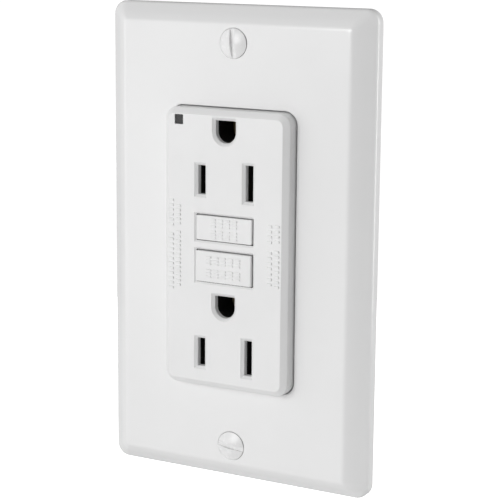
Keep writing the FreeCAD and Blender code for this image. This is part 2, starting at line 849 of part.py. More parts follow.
# ---------------------------------------------------------------- yoke and ground contacts


def make_mounting_yoke():
    """Galvanised steel strap with two ears and windows for the contacts and the buttons."""
    yoke = body("mounting_yoke")
    front = -yoke_thickness
    slab(yoke, 0.0, front, lambda s: rounded(s, yoke_width, yoke_shoulder, housing_corner))
    slab(yoke, 0.0, front, lambda s: rounded(s, ear_width, yoke_length, face_corner))
    blade_window = blade_offset + slot_width / 2 + window_margin
    row_half = neutral_slot_height / 2 + window_margin
    lens = lens_width / 2 + lens_gap
    mechanism = (reset_z[0] - window_margin, test_z[1] + window_margin)
    windows = [(about(middle, blade_window), about(row, row_half)) for row in blade_rows]
    windows.append((grown(button_x, window_margin), mechanism))
    windows.append((about(lens_x, lens), about(lens_z, lens)))
    ground_half = ground_hole_radius + screw_clearance
    windows += [(about(middle, ground_half), about(row, ground_half)) for row in ground_rows]
    for x, z in windows:
        pocket(yoke, front, 0.0, lambda s: rectangle(s, x, z))
    hole = screw_radius + screw_clearance
    end = (box_slot_length - 2 * hole) / 2
    for side in (1, -1):
        row = side * box_screw_offset
        pocket(yoke, front, 0.0, lambda s: rectangle(s, about(middle, end), about(row, hole)))
        holes = [(end, row), (-end, row)]
        for x, z in holes:
            pocket(yoke, front, 0.0, lambda s: disc(s, x, z, hole))
        pocket(yoke, front, 0.0, lambda s: disc(s, middle, side * plate_screw_offset, hole))
    pocket(yoke, front, 0.0, lambda s: disc(s, ground_screw_x, ground_screw_z, hole))
    for x, z in posts:
        pocket(yoke, front, 0.0, lambda s: disc(s, x, z, boss_radius + boss_gap))
    for row in ground_rows:
        for x in (-rivet_x, rivet_x):
            pocket(yoke, front, 0.0, lambda s: disc(s, x, row, rivet_radius))
    finish(yoke, "mounting_yoke")


def make_ground_contact(name, row):
    """Brass clip under the yoke: two leaves with inward nubs that grip the ground pin."""
    leaf_inner = ground_hole_radius - screw_clearance
    grip = ground_grip / 2
    depth = leaf_thickness
    base = box(centred(ground_base_width), (0.0, depth), about(row, ground_base_height / 2))
    leaf_half = ground_hole_radius
    tip = ground_leaf_length - leaf_thickness
    pieces = []
    for side in (1, -1):
        leaf = to_side((leaf_inner, leaf_inner + leaf_thickness), side)
        pieces.append(box(leaf, (0.0, tip), about(row, leaf_half)))
        nub = to_side((grip, leaf_inner + leaf_thickness / 2), side)
        pieces.append(box(nub, (tip - 3 * leaf_thickness, tip - leaf_thickness), about(row, leaf_half)))
    hole = box(centred(2 * leaf_inner), (-depth, 2 * depth), about(row, leaf_half))
    rivets = [rod("y", rivet_radius, -depth, 2 * depth, x=x, z=row) for x in (-rivet_x, rivet_x)]
    finish(fuse(cut(base, hole, *rivets), *pieces), name)


def make_ground_rivets():
    rivets = []
    for row in ground_rows:
        for x in (-rivet_x, rivet_x):
            shank = rod("y", rivet_radius, -yoke_thickness, leaf_thickness, x=x, z=row)
            front_y = (-yoke_thickness - rivet_head_height, -yoke_thickness)
            back_y = (leaf_thickness, leaf_thickness + rivet_head_height)
            front = rod("y", rivet_head_radius, *front_y, x=x, z=row)
            back = rod("y", rivet_head_radius, *back_y, x=x, z=row)
            rivets.append(fuse(shank, front, back))
    finish(group(*rivets), "ground_rivets")


def make_ground_terminal():
    """Green screw and its clamp on the back of the yoke's lower ear."""
    spot = {"x": ground_screw_x, "z": ground_screw_z}
    half = ground_head_radius + screw_clearance
    plate = box(about(ground_screw_x, half), (0.0, terminal_thickness), about(ground_screw_z, half))
    through = (-terminal_thickness, 2 * terminal_thickness)
    finish(cut(plate, rod("y", screw_radius + screw_clearance, *through, **spot)), "ground_clamp")
    head_back = terminal_thickness + ground_head_height
    head = rod("y", ground_head_radius, terminal_thickness, head_back, **spot)
    shank = rod("y", screw_radius, -yoke_thickness - rivet_head_height, terminal_thickness, **spot)
    slot_x = about(ground_screw_x, driver_slot_width / 2)
    slot_y = (head_back - driver_slot_depth, head_back + driver_slot_depth)
    slot = box(slot_x, slot_y, about(ground_screw_z, half))
    finish(cut(fuse(head, shank), slot), "ground_screw")


# ---------------------------------------------------------------- housings


def side_windows():
    """The four openings for the terminals, as spans in X and Z."""
    spans = []
    for side in (1, -1):
        x = to_side((cavity_width / 2, housing_width), side)
        for z in (terminal_z, -terminal_z):
            spans.append((x, about(z, terminal_half)))
    return spans


def make_middle_housing():
    """Moulded tray between the yoke and the rear shell, with pockets for the contacts."""
    tray = body("middle_housing")
    gap = contact_pocket_gap
    slab(tray, middle_depth, 0.0, lambda s: rounded(s, housing_width, housing_height, housing_corner))
    for x, z in side_windows():
        pocket(tray, terminal_front, middle_depth, lambda s: rectangle(s, x, z))
    inner = blade_offset - blade_gap / 2 - 2 * leaf_thickness - gap
    outer = rail_x + gap
    row_half = neutral_slot_height / 2 + gap
    for side in (1, -1):
        for row in blade_rows:
            across = to_side((inner, outer), side)
            pocket(tray, 0.0, middle_depth, lambda s: rectangle(s, across, about(row, row_half)))
        channel = to_side((rail_x - leaf_thickness - gap, outer), side)
        pocket(tray, 0.0, middle_depth, lambda s: rectangle(s, channel, (lower_blades, upper_blades)))
        pad_pocket = to_side((carriage_half + gap, outer), side)
        pad_row = about(pad_z, pad_radius + 2 * gap)
        pocket(tray, contact_base - gap, middle_depth, lambda s: rectangle(s, pad_pocket, pad_row))
        tab = to_side((rail_x, cavity_width / 2 + gap), side)
        tab_back = terminal_front + 2 * leaf_thickness
        pocket(tray, 0.0, tab_back, lambda s: rectangle(s, tab, grown(load_tab_z, gap)))
    for row in ground_rows:
        base = about(middle, ground_base_width / 2 + gap)
        base_depth = leaf_thickness + 2 * rivet_head_height
        pocket(tray, 0.0, base_depth, lambda s: rectangle(s, base, about(row, ground_base_height / 2 + gap)))
        leaf = about(middle, ground_hole_radius + leaf_thickness + gap)
        pocket(tray, 0.0, middle_depth, lambda s: rectangle(s, leaf, about(row, ground_hole_radius + gap)))
    well = (reset_z[0] - button_flange - gap, test_z[1] + button_flange + gap)
    pocket(tray, 0.0, spring_seat, lambda s: rectangle(s, grown(button_x, window_margin), well))
    recess_front = carriage_front - carriage_travel - gap
    recess_z = (reset_centre - carriage_height / 2 - gap, latch_tab_z[1] + gap)
    recess_x = about(middle, carriage_half + gap)
    pocket(tray, recess_front, middle_depth, lambda s: rectangle(s, recess_x, recess_z))
    pocket(tray, spring_seat, middle_depth, lambda s: disc(s, middle, reset_centre, pin_radius + pin_gap))
    for x in (test_pin_x, test_post_x):
        pocket(tray, 0.0, middle_depth, lambda s: disc(s, x, test_centre, test_pin_radius + lens_gap))
    lens = lens_width / 2 + lens_gap
    pocket(tray, 0.0, middle_depth, lambda s: rectangle(s, about(lens_x, lens), about(lens_z, lens)))
    for x, z in posts:
        pocket(tray, 0.0, boss_reach + boss_gap, lambda s: disc(s, x, z, boss_radius + boss_gap))
        hole = housing_screw_radius + housing_screw_gap
        pocket(tray, 0.0, middle_depth, lambda s: disc(s, x, z, hole))
    finish(tray, "middle_housing")


def make_rear_housing():
    """Moulded back shell: a cavity for the board, side windows, wire holes and sunk screws."""
    shell = body("rear_housing")
    slab(shell, rear_depth, middle_depth, lambda s: rounded(s, housing_width, housing_height, housing_corner))
    dress(shell, "PartDesign::Fillet", housing_back_round, lies_at_depth(rear_depth))
    cavity_z = centred(housing_height - 2 * housing_wall)
    inner_back = rear_depth - housing_wall
    pocket(shell, middle_depth, inner_back, lambda s: rectangle(s, centred(cavity_width), cavity_z))
    for x, z in side_windows():
        pocket(shell, middle_depth, terminal_back, lambda s: rectangle(s, x, z))
    for x in (-wire_x, wire_x):
        for centre in (-terminal_z, terminal_z):
            for z in (centre - wire_hole_offset, centre + wire_hole_offset):
                pocket(shell, terminal_back, rear_depth, lambda s: disc(s, x, z, wire_hole_radius))
    hole = housing_screw_radius + housing_screw_gap
    sunk = housing_head_radius + housing_screw_gap
    for x, z in posts:
        pocket(shell, middle_depth, rear_depth, lambda s: disc(s, x, z, hole))
        pocket(shell, rear_depth - housing_head_sink, rear_depth, lambda s: disc(s, x, z, sunk))
    finish(shell, "rear_housing")


def make_housing_screws():
    """Four long screws from the back, through the shell and the tray into the cover's bosses."""
    screws = []
    seat = rear_depth - housing_head_sink
    top = seat + housing_head_height
    for x, z in posts:
        head = rod("y", housing_head_radius, seat, top, x=x, z=z)
        shank = rod("y", housing_screw_radius, -flange_front + 2 * housing_screw_radius, seat, x=x, z=z)
        depths = (top - housing_head_height / 2, top + housing_head_height)
        cross = [
            box(about(x, driver_slot_width / 2), depths, about(z, housing_screw_radius)),
            box(about(x, housing_screw_radius), depths, about(z, driver_slot_width / 2)),
        ]
        screws.append(cut(fuse(head, shank), *cross))
    finish(group(*screws), "housing_screws")


# ---------------------------------------------------------------- contacts and terminals


def make_contact_frame(side):
    """One brass strip that joins both outlets: a U-shaped clip behind each slot, a rail and a contact tab."""
    height = {-1: hot_slot_height, 1: neutral_slot_height}[side]
    centre = blade_offset
    rail = to_side((rail_x - leaf_thickness, rail_x), side)
    row_half = height / 2 - contact_pocket_gap
    rail_z = (lower_blades - row_half, upper_blades + row_half)
    pieces = [box(rail, (contact_back - rail_depth, contact_back), rail_z)]
    clip_inner = centre - blade_gap / 2 - leaf_thickness
    for row in blade_rows:
        base = to_side((clip_inner, rail_x), side)
        pieces.append(box(base, (contact_base, contact_back), about(row, row_half)))
        for start in (clip_inner, centre + blade_gap / 2):
            leaf = to_side((start, start + leaf_thickness), side)
            pieces.append(box(leaf, (leaf_front, contact_back), about(row, row_half)))
    tab = to_side((pad_x - pad_radius - lens_gap, rail_x), side)
    pieces.append(box(tab, (contact_base, contact_back), about(pad_z, pad_radius + lens_gap)))
    finish(fuse(*pieces), f"{side_names[side]}_contact_frame")


def make_fixed_contacts():
    pad_y = (contact_back, contact_back + pad_thickness)
    pads = [rod("y", pad_radius, *pad_y, x=x, z=pad_z) for x in (-pad_x, pad_x)]
    finish(group(*pads), "fixed_contacts")


def terminal_plate(side, z):
    """Brass plate in a side window, with a hole for its screw."""
    span = to_side((terminal_x, terminal_x + terminal_thickness), side)
    depths = (terminal_front + leaf_thickness, terminal_back - contact_pocket_gap)
    plate = box(span, depths, about(z, terminal_half))
    through = to_side((terminal_x - terminal_thickness, terminal_x + 2 * terminal_thickness), side)
    hole_radius = terminal_screw_radius + housing_screw_gap
    return cut(plate, rod("x", hole_radius, *through, y=terminal_screw_y, z=z))


def make_terminals():
    load, line = [], []
    for side in (-1, 1):
        tab = to_side((rail_x, terminal_x), side)
        tab_depths = (terminal_front + leaf_thickness, terminal_front + 2 * leaf_thickness)
        load.append(fuse(terminal_plate(side, terminal_z), box(tab, tab_depths, load_tab_z)))
        line.append(terminal_plate(side, -terminal_z))
    finish(group(*load), "load_terminals")
    finish(group(*line), "line_terminals")


def make_terminal_screws():
    """Binding-head screws in the side windows: brass on the hot side, silver on the neutral side."""
    finishes = {-1: "brass_terminal_screws", 1: "silver_terminal_screws"}
    for side, name in finishes.items():
        screws = []
        top = terminal_head_x + terminal_head_height
        for z in (terminal_z, -terminal_z):
            spot = {"y": terminal_screw_y, "z": z}
            head = rod("x", terminal_head_radius, *to_side((terminal_head_x, top), side), **spot)
            shank = rod("x", terminal_screw_radius, *to_side((clamp_x, terminal_head_x), side), **spot)
            slot_x = to_side((top - driver_slot_depth, top + driver_slot_depth), side)
            slot_y = about(terminal_screw_y, terminal_head_radius + driver_slot_width)
            slot = box(slot_x, slot_y, about(z, driver_slot_width / 2))
            screws.append(cut(fuse(head, shank), slot))
        finish(group(*screws), name)


def make_wire_clamps():
    """Pressure plates that press the wires against the terminal plates."""
    clamps = []
    depths = about(terminal_screw_y, terminal_head_radius)
    for side in (-1, 1):
        span = to_side((clamp_x, clamp_x + clamp_thickness), side)
        through = to_side((clamp_x - clamp_thickness, clamp_x + 2 * clamp_thickness), side)
        for z in (terminal_z, -terminal_z):
            plate = box(span, depths, about(z, terminal_half - contact_pocket_gap))
            hole_radius = terminal_screw_radius + housing_screw_gap
            clamps.append(cut(plate, rod("x", hole_radius, *through, y=terminal_screw_y, z=z)))
    finish(group(*clamps), "wire_clamps")


def make_line_bus(side):
    """Line conductor: a bar from the terminal plate to the middle, and a post through the sensor rings."""
    inner = bus_gap
    post_half = bus_width / 2
    bar_y = (bus_front, bus_front + bus_thickness)
    bar_z = (sensor_z - post_half, arm_pivot_z - contact_pocket_gap)
    bar = box(to_side((inner, terminal_x), side), bar_y, bar_z)
    post_x_span = to_side((inner, inner + bus_width), side)
    post = box(post_x_span, (bus_front, board_front), about(sensor_z, post_half))
    finish(fuse(bar, post), f"{side_names[side]}_line_bus")


def make_contact_arm(side):
    """Springy copper arm with a silver pad that meets the fixed contact."""
    centre = side * pad_x
    arm_back = arm_front + arm_thickness
    top = pad_z + pad_radius + contact_pocket_gap
    strip = box(about(centre, arm_width / 2), (arm_front, arm_back), (arm_pivot_z, top))
    pad = rod("y", pad_radius, arm_front - pad_thickness, arm_front, x=centre, z=pad_z)
    finish(fuse(strip, pad), f"{side_names[side]}_contact_arm")


# ---------------------------------------------------------------- tripping mechanism


def make_carriage():
    """Plastic block that the latched pin pulls forwards; its ears lift the contact arms."""
    block_z = about(reset_centre, carriage_height / 2)
    block = box(centred(2 * carriage_half), (carriage_front, carriage_back), block_z)
    ear_reach = pad_x + arm_width / 2 + contact_pocket_gap
    ear_front = arm_front + arm_thickness + arm_slack
    ears = box(centred(2 * ear_reach), (ear_front, carriage_back), about(reset_centre, carriage_height / 4))
    bore_y = (carriage_front - latch_thickness, carriage_back + latch_thickness)
    bore = rod("y", pin_radius + pin_gap, *bore_y, z=reset_centre)
    slot_x = centred(2 * latch_half + 4 * lens_gap)
    slot_y = (latch_front - lens_gap, latch_front + latch_thickness + lens_gap)
    slot = box(slot_x, slot_y, grown(block_z, latch_thickness))
    finish(cut(fuse(block, ears), bore, slot), "contact_carriage")


def make_latch_plate():
    """Steel plate with a keyhole: the round part lets the pin's head pass, the narrow part holds it."""
    low = reset_centre - carriage_height / 2
    plate_y = (latch_front, latch_front + latch_thickness)
    plate = box(centred(2 * latch_half), plate_y, (low, latch_tab_z[1]))
    tab_end = solenoid_y + plunger_radius + latch_thickness
    tab = box(centred(2 * (latch_half - latch_thickness)), (latch_front, tab_end), latch_tab_z)
    through = (latch_front - latch_thickness, latch_front + 2 * latch_thickness)
    round_part = rod("y", pin_radius + pin_gap, *through, z=reset_centre)
    narrow_half = pin_groove_radius + lens_gap
    narrow_top = reset_centre + latch_stroke + narrow_half
    narrow = box(centred(2 * narrow_half), through, (reset_centre, narrow_top))
    fork_start = solenoid_y - plunger_neck_radius - carriage_travel
    fork_z = grown(latch_tab_z, latch_thickness)
    fork = box(centred(2 * (plunger_neck_radius + lens_gap)), (fork_start, 2 * tab_end), fork_z)
    finish(cut(fuse(plate, tab), round_part, narrow, fork), "latch_plate")


def make_solenoid():
    """Trip coil: steel frame, bobbin, winding, plunger with a grooved nose and its return spring."""
    axis = {"y": solenoid_y}
    inner_low, inner_high = solenoid_low + solenoid_sheet, solenoid_high - solenoid_sheet
    bore = plunger_radius + plunger_gap
    frame_y = about(solenoid_y, coil_radius + bobbin_wall)
    ends = [
        box(centred(2 * solenoid_frame_half), frame_y, (solenoid_low, inner_low)),
        box(centred(2 * solenoid_frame_half), frame_y, (inner_high, solenoid_high)),
    ]
    web_x = (-solenoid_frame_half, -solenoid_frame_half + solenoid_sheet)
    web = box(web_x, frame_y, (solenoid_low, solenoid_high))
    hole = rod("z", bore, solenoid_low - solenoid_sheet, inner_low + solenoid_sheet, **axis)
    finish(cut(fuse(web, *ends), hole), "solenoid_frame")
    tube = rod("z", bore + bobbin_wall, inner_low, inner_high, **axis)
    flange_radius = coil_radius + bobbin_wall / 2
    flanges = [
        rod("z", flange_radius, inner_low, inner_low + bobbin_wall, **axis),
        rod("z", flange_radius, inner_high - bobbin_wall, inner_high, **axis),
    ]
    bobbin_bore = rod("z", bore, inner_low - bobbin_wall, inner_high + bobbin_wall, **axis)
    finish(cut(fuse(tube, *flanges), bobbin_bore), "solenoid_bobbin")
    coil = rod("z", coil_radius, inner_low + bobbin_wall, inner_high - bobbin_wall, **axis)
    core = rod("z", bore + bobbin_wall, inner_low, inner_high, **axis)
    finish(cut(coil, core), "solenoid_coil")
    neck_low = latch_tab_z[0] - contact_pocket_gap
    neck_high = latch_tab_z[1] + contact_pocket_gap
    plunger_top = inner_high - plunger_spring_length
    plunger = fuse(
        rod("z", plunger_radius, neck_low - 2 * latch_thickness, neck_low, **axis),
        rod("z", plunger_neck_radius, neck_low, neck_high, **axis),
        rod("z", plunger_radius, neck_high, plunger_top, **axis),
    )
    finish(plunger, "solenoid_plunger")
    spring_radius = plunger_neck_radius + plunger_spring_wire
    ends = (plunger_top, inner_high)
    make_spring("plunger_spring", "z", spring_radius, plunger_spring_wire, *ends, 0.0, 4, y=solenoid_y)


def make_test_contacts():
    """Leaf that the TEST button bends, its fixed post and the pin that it touches."""
    leaf_y = (test_leaf_front, test_leaf_front + test_leaf_thickness)
    leaf = box((test_leaf_root, test_leaf_end), leaf_y, about(test_centre, test_leaf_width / 2))
    finish(leaf, "test_leaf")
    post = rod("y", test_pin_radius, test_leaf_front, board_front, x=test_post_x, z=test_centre)
    pin_front = test_leaf_front + test_leaf_thickness + 1.5 * test_travel
    pin = rod("y", test_pin_radius, pin_front, board_front, x=test_pin_x, z=test_centre)
    finish(group(post, pin), "test_contact")


# ---------------------------------------------------------------- sensor and circuit board


def make_sensor():
    """Two toroidal current sensors in a plastic boat; the line conductors pass through them."""
    spot = {"z": sensor_z}
    ring_gap = 2 * lens_gap
    boat_front = board_front - 2 * (ring_thickness + boat_wall) - boat_wall
    outer = rod("y", ring_outer + ring_gap + boat_wall, boat_front, board_front, **spot)
    tube_radius = ring_inner - lens_gap
    room = cut(
        rod("y", ring_outer + ring_gap, boat_front + boat_wall, board_front + boat_wall, **spot),
        rod("y", tube_radius, boat_front, board_front + 2 * boat_wall, **spot),
    )
    bore = rod("y", tube_radius - boat_wall, boat_front - boat_wall, board_front + boat_wall, **spot)
    finish(cut(outer, room, bore), "sensor_boat")
    rings = []
    for order in (0, 1):
        front = boat_front + boat_wall + lens_gap + order * (ring_thickness + boat_wall)
        ring = rod("y", ring_outer, front, front + ring_thickness, **spot)
        rings.append(cut(ring, rod("y", ring_inner, front - boat_wall, front + 2 * ring_thickness, **spot)))
    finish(group(*rings), "sensor_rings")


def make_board():
    """Circuit board and the parts on it."""
    board = body("circuit_board")
    board_back = board_front + board_thickness
    slab(board, board_back, board_front, lambda s: rectangle(s, centred(board_width), centred(board_height)))
    finish(board, "circuit_board")
    capacitor_y = (board_front - capacitor_depth, board_front)
    capacitor_span = about(capacitor_z, capacitor_height / 2)
    capacitor = box(about(capacitor_x, capacitor_width / 2), capacitor_y, capacitor_span)
    finish(capacitor, "filter_capacitor")
    varistor_span = about(varistor_x, varistor_thickness / 2)
    varistor_y = board_front - varistor_radius
    finish(rod("x", varistor_radius, *varistor_span, y=varistor_y, z=varistor_z), "varistor")
    thyristor_y = (board_front - thyristor_depth, board_front)
    thyristor_span = about(thyristor_z, thyristor_height / 2)
    thyristor = box(about(thyristor_x, thyristor_width / 2), thyristor_y, thyristor_span)
    finish(thyristor, "thyristor")
    chip_y = (board_back, board_back + chip_thickness)
    finish(box(centred(chip_width), chip_y, about(chip_z, chip_height / 2)), "controller_chip")
    resistors = []
    for order in (0, 1):
        top = resistor_top - order * resistor_step
        for x in (first_resistor_x, last_resistor_x):
            span = (top - resistor_length, top)
            resistors.append(rod("z", resistor_radius, *span, x=x, y=board_front - resistor_radius))
    finish(group(*resistors), "resistors")


# ---------------------------------------------------------------- build

make_wall_plate()
make_plate_screws()
make_box_screws()
make_screw_retainers()
make_front_cover()
make_test_button()
make_reset_button()
make_indicator()
make_mounting_yoke()
for contact_name, contact_row in zip(("upper_ground_contact", "lower_ground_contact"), ground_rows):
    make_ground_contact(contact_name, contact_row)
make_ground_rivets()
make_ground_terminal()
make_middle_housing()
make_rear_housing()
make_housing_screws()
for board_side in (-1, 1):
    make_contact_frame(board_side)
    make_line_bus(board_side)
    make_contact_arm(board_side)
make_fixed_contacts()
make_terminals()
make_terminal_screws()
make_wire_clamps()
make_carriage()
make_latch_plate()
make_solenoid()
make_test_contacts()
make_sensor()
make_board()
doc.recompute()

failed = [item.Name for item in doc.Objects if {"Invalid", "Error"} & set(item.State)]
if failed:
    raise RuntimeError(f"these objects failed: {failed}")
for item in sub_parts:
    if item.Shape.isNull() or not item.Shape.isValid() or not item.Shape.Solids:
        raise RuntimeError(f"{item.Label} has no valid solid")
os.makedirs("parts", exist_ok=True)
for item in sub_parts:
    item.Shape.exportStep(os.path.join("parts", f"{item.Label}.step"))
print(f"wrote {len(sub_parts)} sub-parts")
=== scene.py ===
import math

import bmesh
import bpy
import numpy as np
from mathutils import Matrix, Vector
from mathutils.geometry import delaunay_2d_cdt


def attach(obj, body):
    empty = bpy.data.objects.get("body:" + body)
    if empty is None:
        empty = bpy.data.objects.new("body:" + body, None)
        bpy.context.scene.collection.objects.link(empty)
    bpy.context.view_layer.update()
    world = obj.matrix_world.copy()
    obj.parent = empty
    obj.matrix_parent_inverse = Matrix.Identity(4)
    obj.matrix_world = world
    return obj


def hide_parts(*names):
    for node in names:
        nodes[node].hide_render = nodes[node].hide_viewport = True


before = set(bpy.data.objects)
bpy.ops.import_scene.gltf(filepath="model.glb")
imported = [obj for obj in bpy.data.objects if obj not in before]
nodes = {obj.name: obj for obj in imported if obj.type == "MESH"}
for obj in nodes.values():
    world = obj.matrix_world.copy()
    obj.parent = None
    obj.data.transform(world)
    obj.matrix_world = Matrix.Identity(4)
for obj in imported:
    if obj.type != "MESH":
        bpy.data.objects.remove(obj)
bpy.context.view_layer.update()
scene = bpy.context.scene
scene.view_settings.view_transform = "Standard"

# ---------------------------------------------------------------- camera, floor and light
# The outlet is seen from a little to the right and a little above, through a long lens. It stands over a
# pale floor in a white room, with soft lights in front and at the left and one behind it on the right.

MM = 0.001
camera_place = Vector((0.18824, -0.34275, 0.07662))
yaw, pitch, roll = (math.radians(turn) for turn in (28.603, 11.255, 0.485))
back = Vector((math.sin(yaw) * math.cos(pitch), -math.cos(yaw) * math.cos(pitch), math.sin(pitch)))
right = (-back).cross(Vector((0, 0, 1))).normalized()
up = right.cross(-back)
across = math.cos(roll) * right + math.sin(roll) * up
upright = math.cos(roll) * up - math.sin(roll) * right
lens = bpy.data.cameras.new("camera")
lens.sensor_width = 36.0
lens.lens = 119.82
lens.clip_start = 0.01
camera = bpy.data.objects.new("camera", lens)
scene.collection.objects.link(camera)
camera.matrix_world = Matrix.Translation(camera_place) @ Matrix((across, upright, back)).transposed().to_4x4()
scene.camera = camera


def linear(code, alpha=1.0):
    """A colour for the shaders from its sRGB hex code: each channel is undone from the screen's curve."""
    channels = np.array([int(code[i : i + 2], 16) for i in (1, 3, 5)]) / 255
    straight = np.where(channels <= 0.04045, channels / 12.92, ((channels + 0.055) / 1.055) ** 2.4)
    return (*straight, alpha)


def add(tree, kind, settings=None, links=None):
    """Adds one node; settings name its properties or inputs, links name inputs and what feeds them."""
    node = tree.nodes.new(kind)
    for name, value in (settings or {}).items():
        if name in node.inputs:
            node.inputs[name].default_value = value
        else:
            setattr(node, name, value)
    for name, source in (links or {}).items():
        tree.links.new(source, node.inputs[name])
    return node


room = bpy.data.worlds.new("white_room")
room.use_nodes = True
room.node_tree.nodes.clear()
ray = add(room.node_tree, "ShaderNodeLightPath")
wall = add(room.node_tree, "ShaderNodeBackground", {"Color": linear("#FFFFFF"), "Strength": 1.05})
fill = add(room.node_tree, "ShaderNodeBackground", {"Color": linear("#FFFFFF"), "Strength": 0.27})
both = add(room.node_tree, "ShaderNodeMixShader", None, {0: ray.outputs["Is Camera Ray"]})
room.node_tree.links.new(fill.outputs[0], both.inputs[1])
room.node_tree.links.new(wall.outputs[0], both.inputs[2])
add(room.node_tree, "ShaderNodeOutputWorld", None, {"Surface": both.outputs[0]})
scene.world = room


def soft_light(name, place, aim, width, height, power, code):
    """A rectangular studio light that points from its place to its aim."""
    lamp = bpy.data.lights.new(name, "AREA")
    lamp.shape = "RECTANGLE"
    lamp.size = width
    lamp.size_y = height
    lamp.energy = power
    lamp.color = linear(code)[:3]
    holder = bpy.data.objects.new(name, lamp)
    scene.collection.objects.link(holder)
    holder.location = place
    holder.rotation_euler = (Vector(aim) - Vector(place)).to_track_quat("-Z", "Y").to_euler()


soft_light("front_light", (-0.16, -0.94, 0.26), (0, 0, 0), 0.5, 0.5, 4.7, "#FFFFFF")
soft_light("left_light", (-0.71, -0.55, -0.05), (0, 0, 0), 0.8, 1.3, 3.0, "#FFFFFF")
soft_light("rim_light", (0.66, 0.46, 0.05), (0, 0, 0), 0.4, 1.1, 5.6, "#FFFFFF")

floor_sheet = bpy.data.meshes.new("floor")
reach = 0.32
floor_z = -0.085
floor_sides = 64
turns = np.linspace(0, 2 * np.pi, floor_sides, endpoint=False)
rim = np.stack([reach * np.cos(turns), reach * np.sin(turns), np.full(floor_sides, floor_z)], 1)
floor_sheet.from_pydata(rim.tolist(), [], [list(range(floor_sides))])
floor = bpy.data.objects.new("floor", floor_sheet)
scene.collection.objects.link(floor)
paper = bpy.data.materials.new("studio_paper")
paper.use_nodes = True
paper_shader = paper.node_tree.nodes["Principled BSDF"]
paper_shader.inputs["Roughness"].default_value = 0.9
paper_shader.inputs["Emission Color"].default_value = linear("#FFFFFF")
lit = add(paper.node_tree, "ShaderNodeLightPath")
paper.node_tree.links.new(lit.outputs["Is Camera Ray"], paper_shader.inputs["Emission Strength"])
fibres = add(paper.node_tree, "ShaderNodeTexNoise", {"Scale": 900.0, "Detail": 2.0})
paper_tone = add(paper.node_tree, "ShaderNodeValToRGB", None, {"Fac": fibres.outputs["Fac"]})
paper_tone.color_ramp.elements[0].color = linear("#F4F4F4")
paper_tone.color_ramp.elements[1].color = linear("#FCFCFC")
paper.node_tree.links.new(paper_tone.outputs["Color"], paper_shader.inputs["Base Color"])
floor_sheet.materials.append(paper)

# ---------------------------------------------------------------- rear housing, tray and housing screws
# The back shell and the tray are moulded in pale grey glass-filled nylon, matt from a spark-eroded mould.
# Four zinc plated cross-slot screws go in from the back.


def noise_at(tree, size, detail, stretch=(1.0, 1.0, 1.0)):
    """Noise whose blobs are about size millimetres across, placed by the piece's own coordinates."""
    spot = add(tree, "ShaderNodeTexCoord")
    turned = add(tree, "ShaderNodeMapping", {"Scale": stretch}, {"Vector": spot.outputs["Object"]})
    settings = {"Scale": 1.0 / (size * MM), "Detail": detail, "Roughness": 0.55}
    return add(tree, "ShaderNodeTexNoise", settings, {"Vector": turned.outputs["Vector"]})


def surface(name, light, dark, patch, rough, grain, relief, metallic=0.0, stretch=(1.0, 1.0, 1.0)):
    """A finish: patchy colour between two codes, roughness that varies in patches a third as
    large, and a fine relief.

    patch and grain are the sizes of the colour patches and of the relief in millimetres, rough the lowest
    and highest roughness, relief the height of the grain in millimetres."""
    material = bpy.data.materials.new(name)
    material.use_nodes = True
    tree = material.node_tree
    shader = tree.nodes["Principled BSDF"]
    shader.inputs["Metallic"].default_value = metallic
    clouds = noise_at(tree, patch, 3.0, stretch)
    colour = add(tree, "ShaderNodeValToRGB", None, {"Fac": clouds.outputs["Fac"]})
    colour.color_ramp.elements[0].position = 0.3
    colour.color_ramp.elements[0].color = linear(dark)
    colour.color_ramp.elements[1].position = 0.7
    colour.color_ramp.elements[1].color = linear(light)
    tree.links.new(colour.outputs["Color"], shader.inputs["Base Color"])
    spread = {"From Min": 0.3, "From Max": 0.7, "To Min": rough[0], "To Max": rough[1]}
    smears = noise_at(tree, patch / 3, 4.0, stretch)
    gloss = add(tree, "ShaderNodeMapRange", spread, {"Value": smears.outputs["Fac"]})
    tree.links.new(gloss.outputs["Result"], shader.inputs["Roughness"])
    pits = noise_at(tree, grain, 2.0, stretch)
    height = {"Height": pits.outputs["Fac"]}
    bump = add(tree, "ShaderNodeBump", {"Strength": 1.0, "Distance": relief * MM}, height)
    tree.links.new(bump.outputs["Normal"], shader.inputs["Normal"])
    return material


def wear(material, *names):
    """Gives carried-over CAD nodes their finish."""
    for name in names:
        nodes[name].data.materials.clear()
        nodes[name].data.materials.append(material)


# Spark-eroded nylon: a 0.35 mm pebble grain, no gloss
nylon = surface("pale_glass_filled_nylon", "#CFD1D2", "#C3C6C8", 9.0, (0.52, 0.68), 0.35, 0.02)
wear(nylon, "rear_housing", "middle_housing")
# Bright zinc plate with a faint bluish passivation and drag lines of 0.2 mm
zinc = surface(
    "zinc_plated_steel", "#C9CCD0", "#9EA3A8", 5.0, (0.24, 0.42), 0.2, 0.004, 1.0, (1.0, 1.0, 0.15)
)
wear(zinc, "housing_screws")

# ---------------------------------------------------------------- circuit board and its parts
# Glass-epoxy laminate under a green solder mask, with the dipped, moulded and lacquered parts on it.

# Solder mask over a 0.5 mm glass weave
mask = surface("green_solder_mask", "#1F6A3C", "#17542F", 3.0, (0.25, 0.4), 0.5, 0.006)
wear(mask, "circuit_board")
# Moulded epoxy with mould-release haze
epoxy = surface("black_moulded_epoxy", "#2B2B2D", "#1D1D1F", 2.0, (0.4, 0.6), 0.15, 0.008)
wear(epoxy, "controller_chip", "thyristor")
# Dipped epoxy flows, so it is glossy with slow waves
dipped = surface("orange_dipped_epoxy", "#C8641F", "#AD5016", 4.0, (0.12, 0.25), 1.5, 0.03)
dipped.node_tree.nodes["Principled BSDF"].inputs["Coat Weight"].default_value = 0.4
wear(dipped, "varistor", "filter_capacitor")
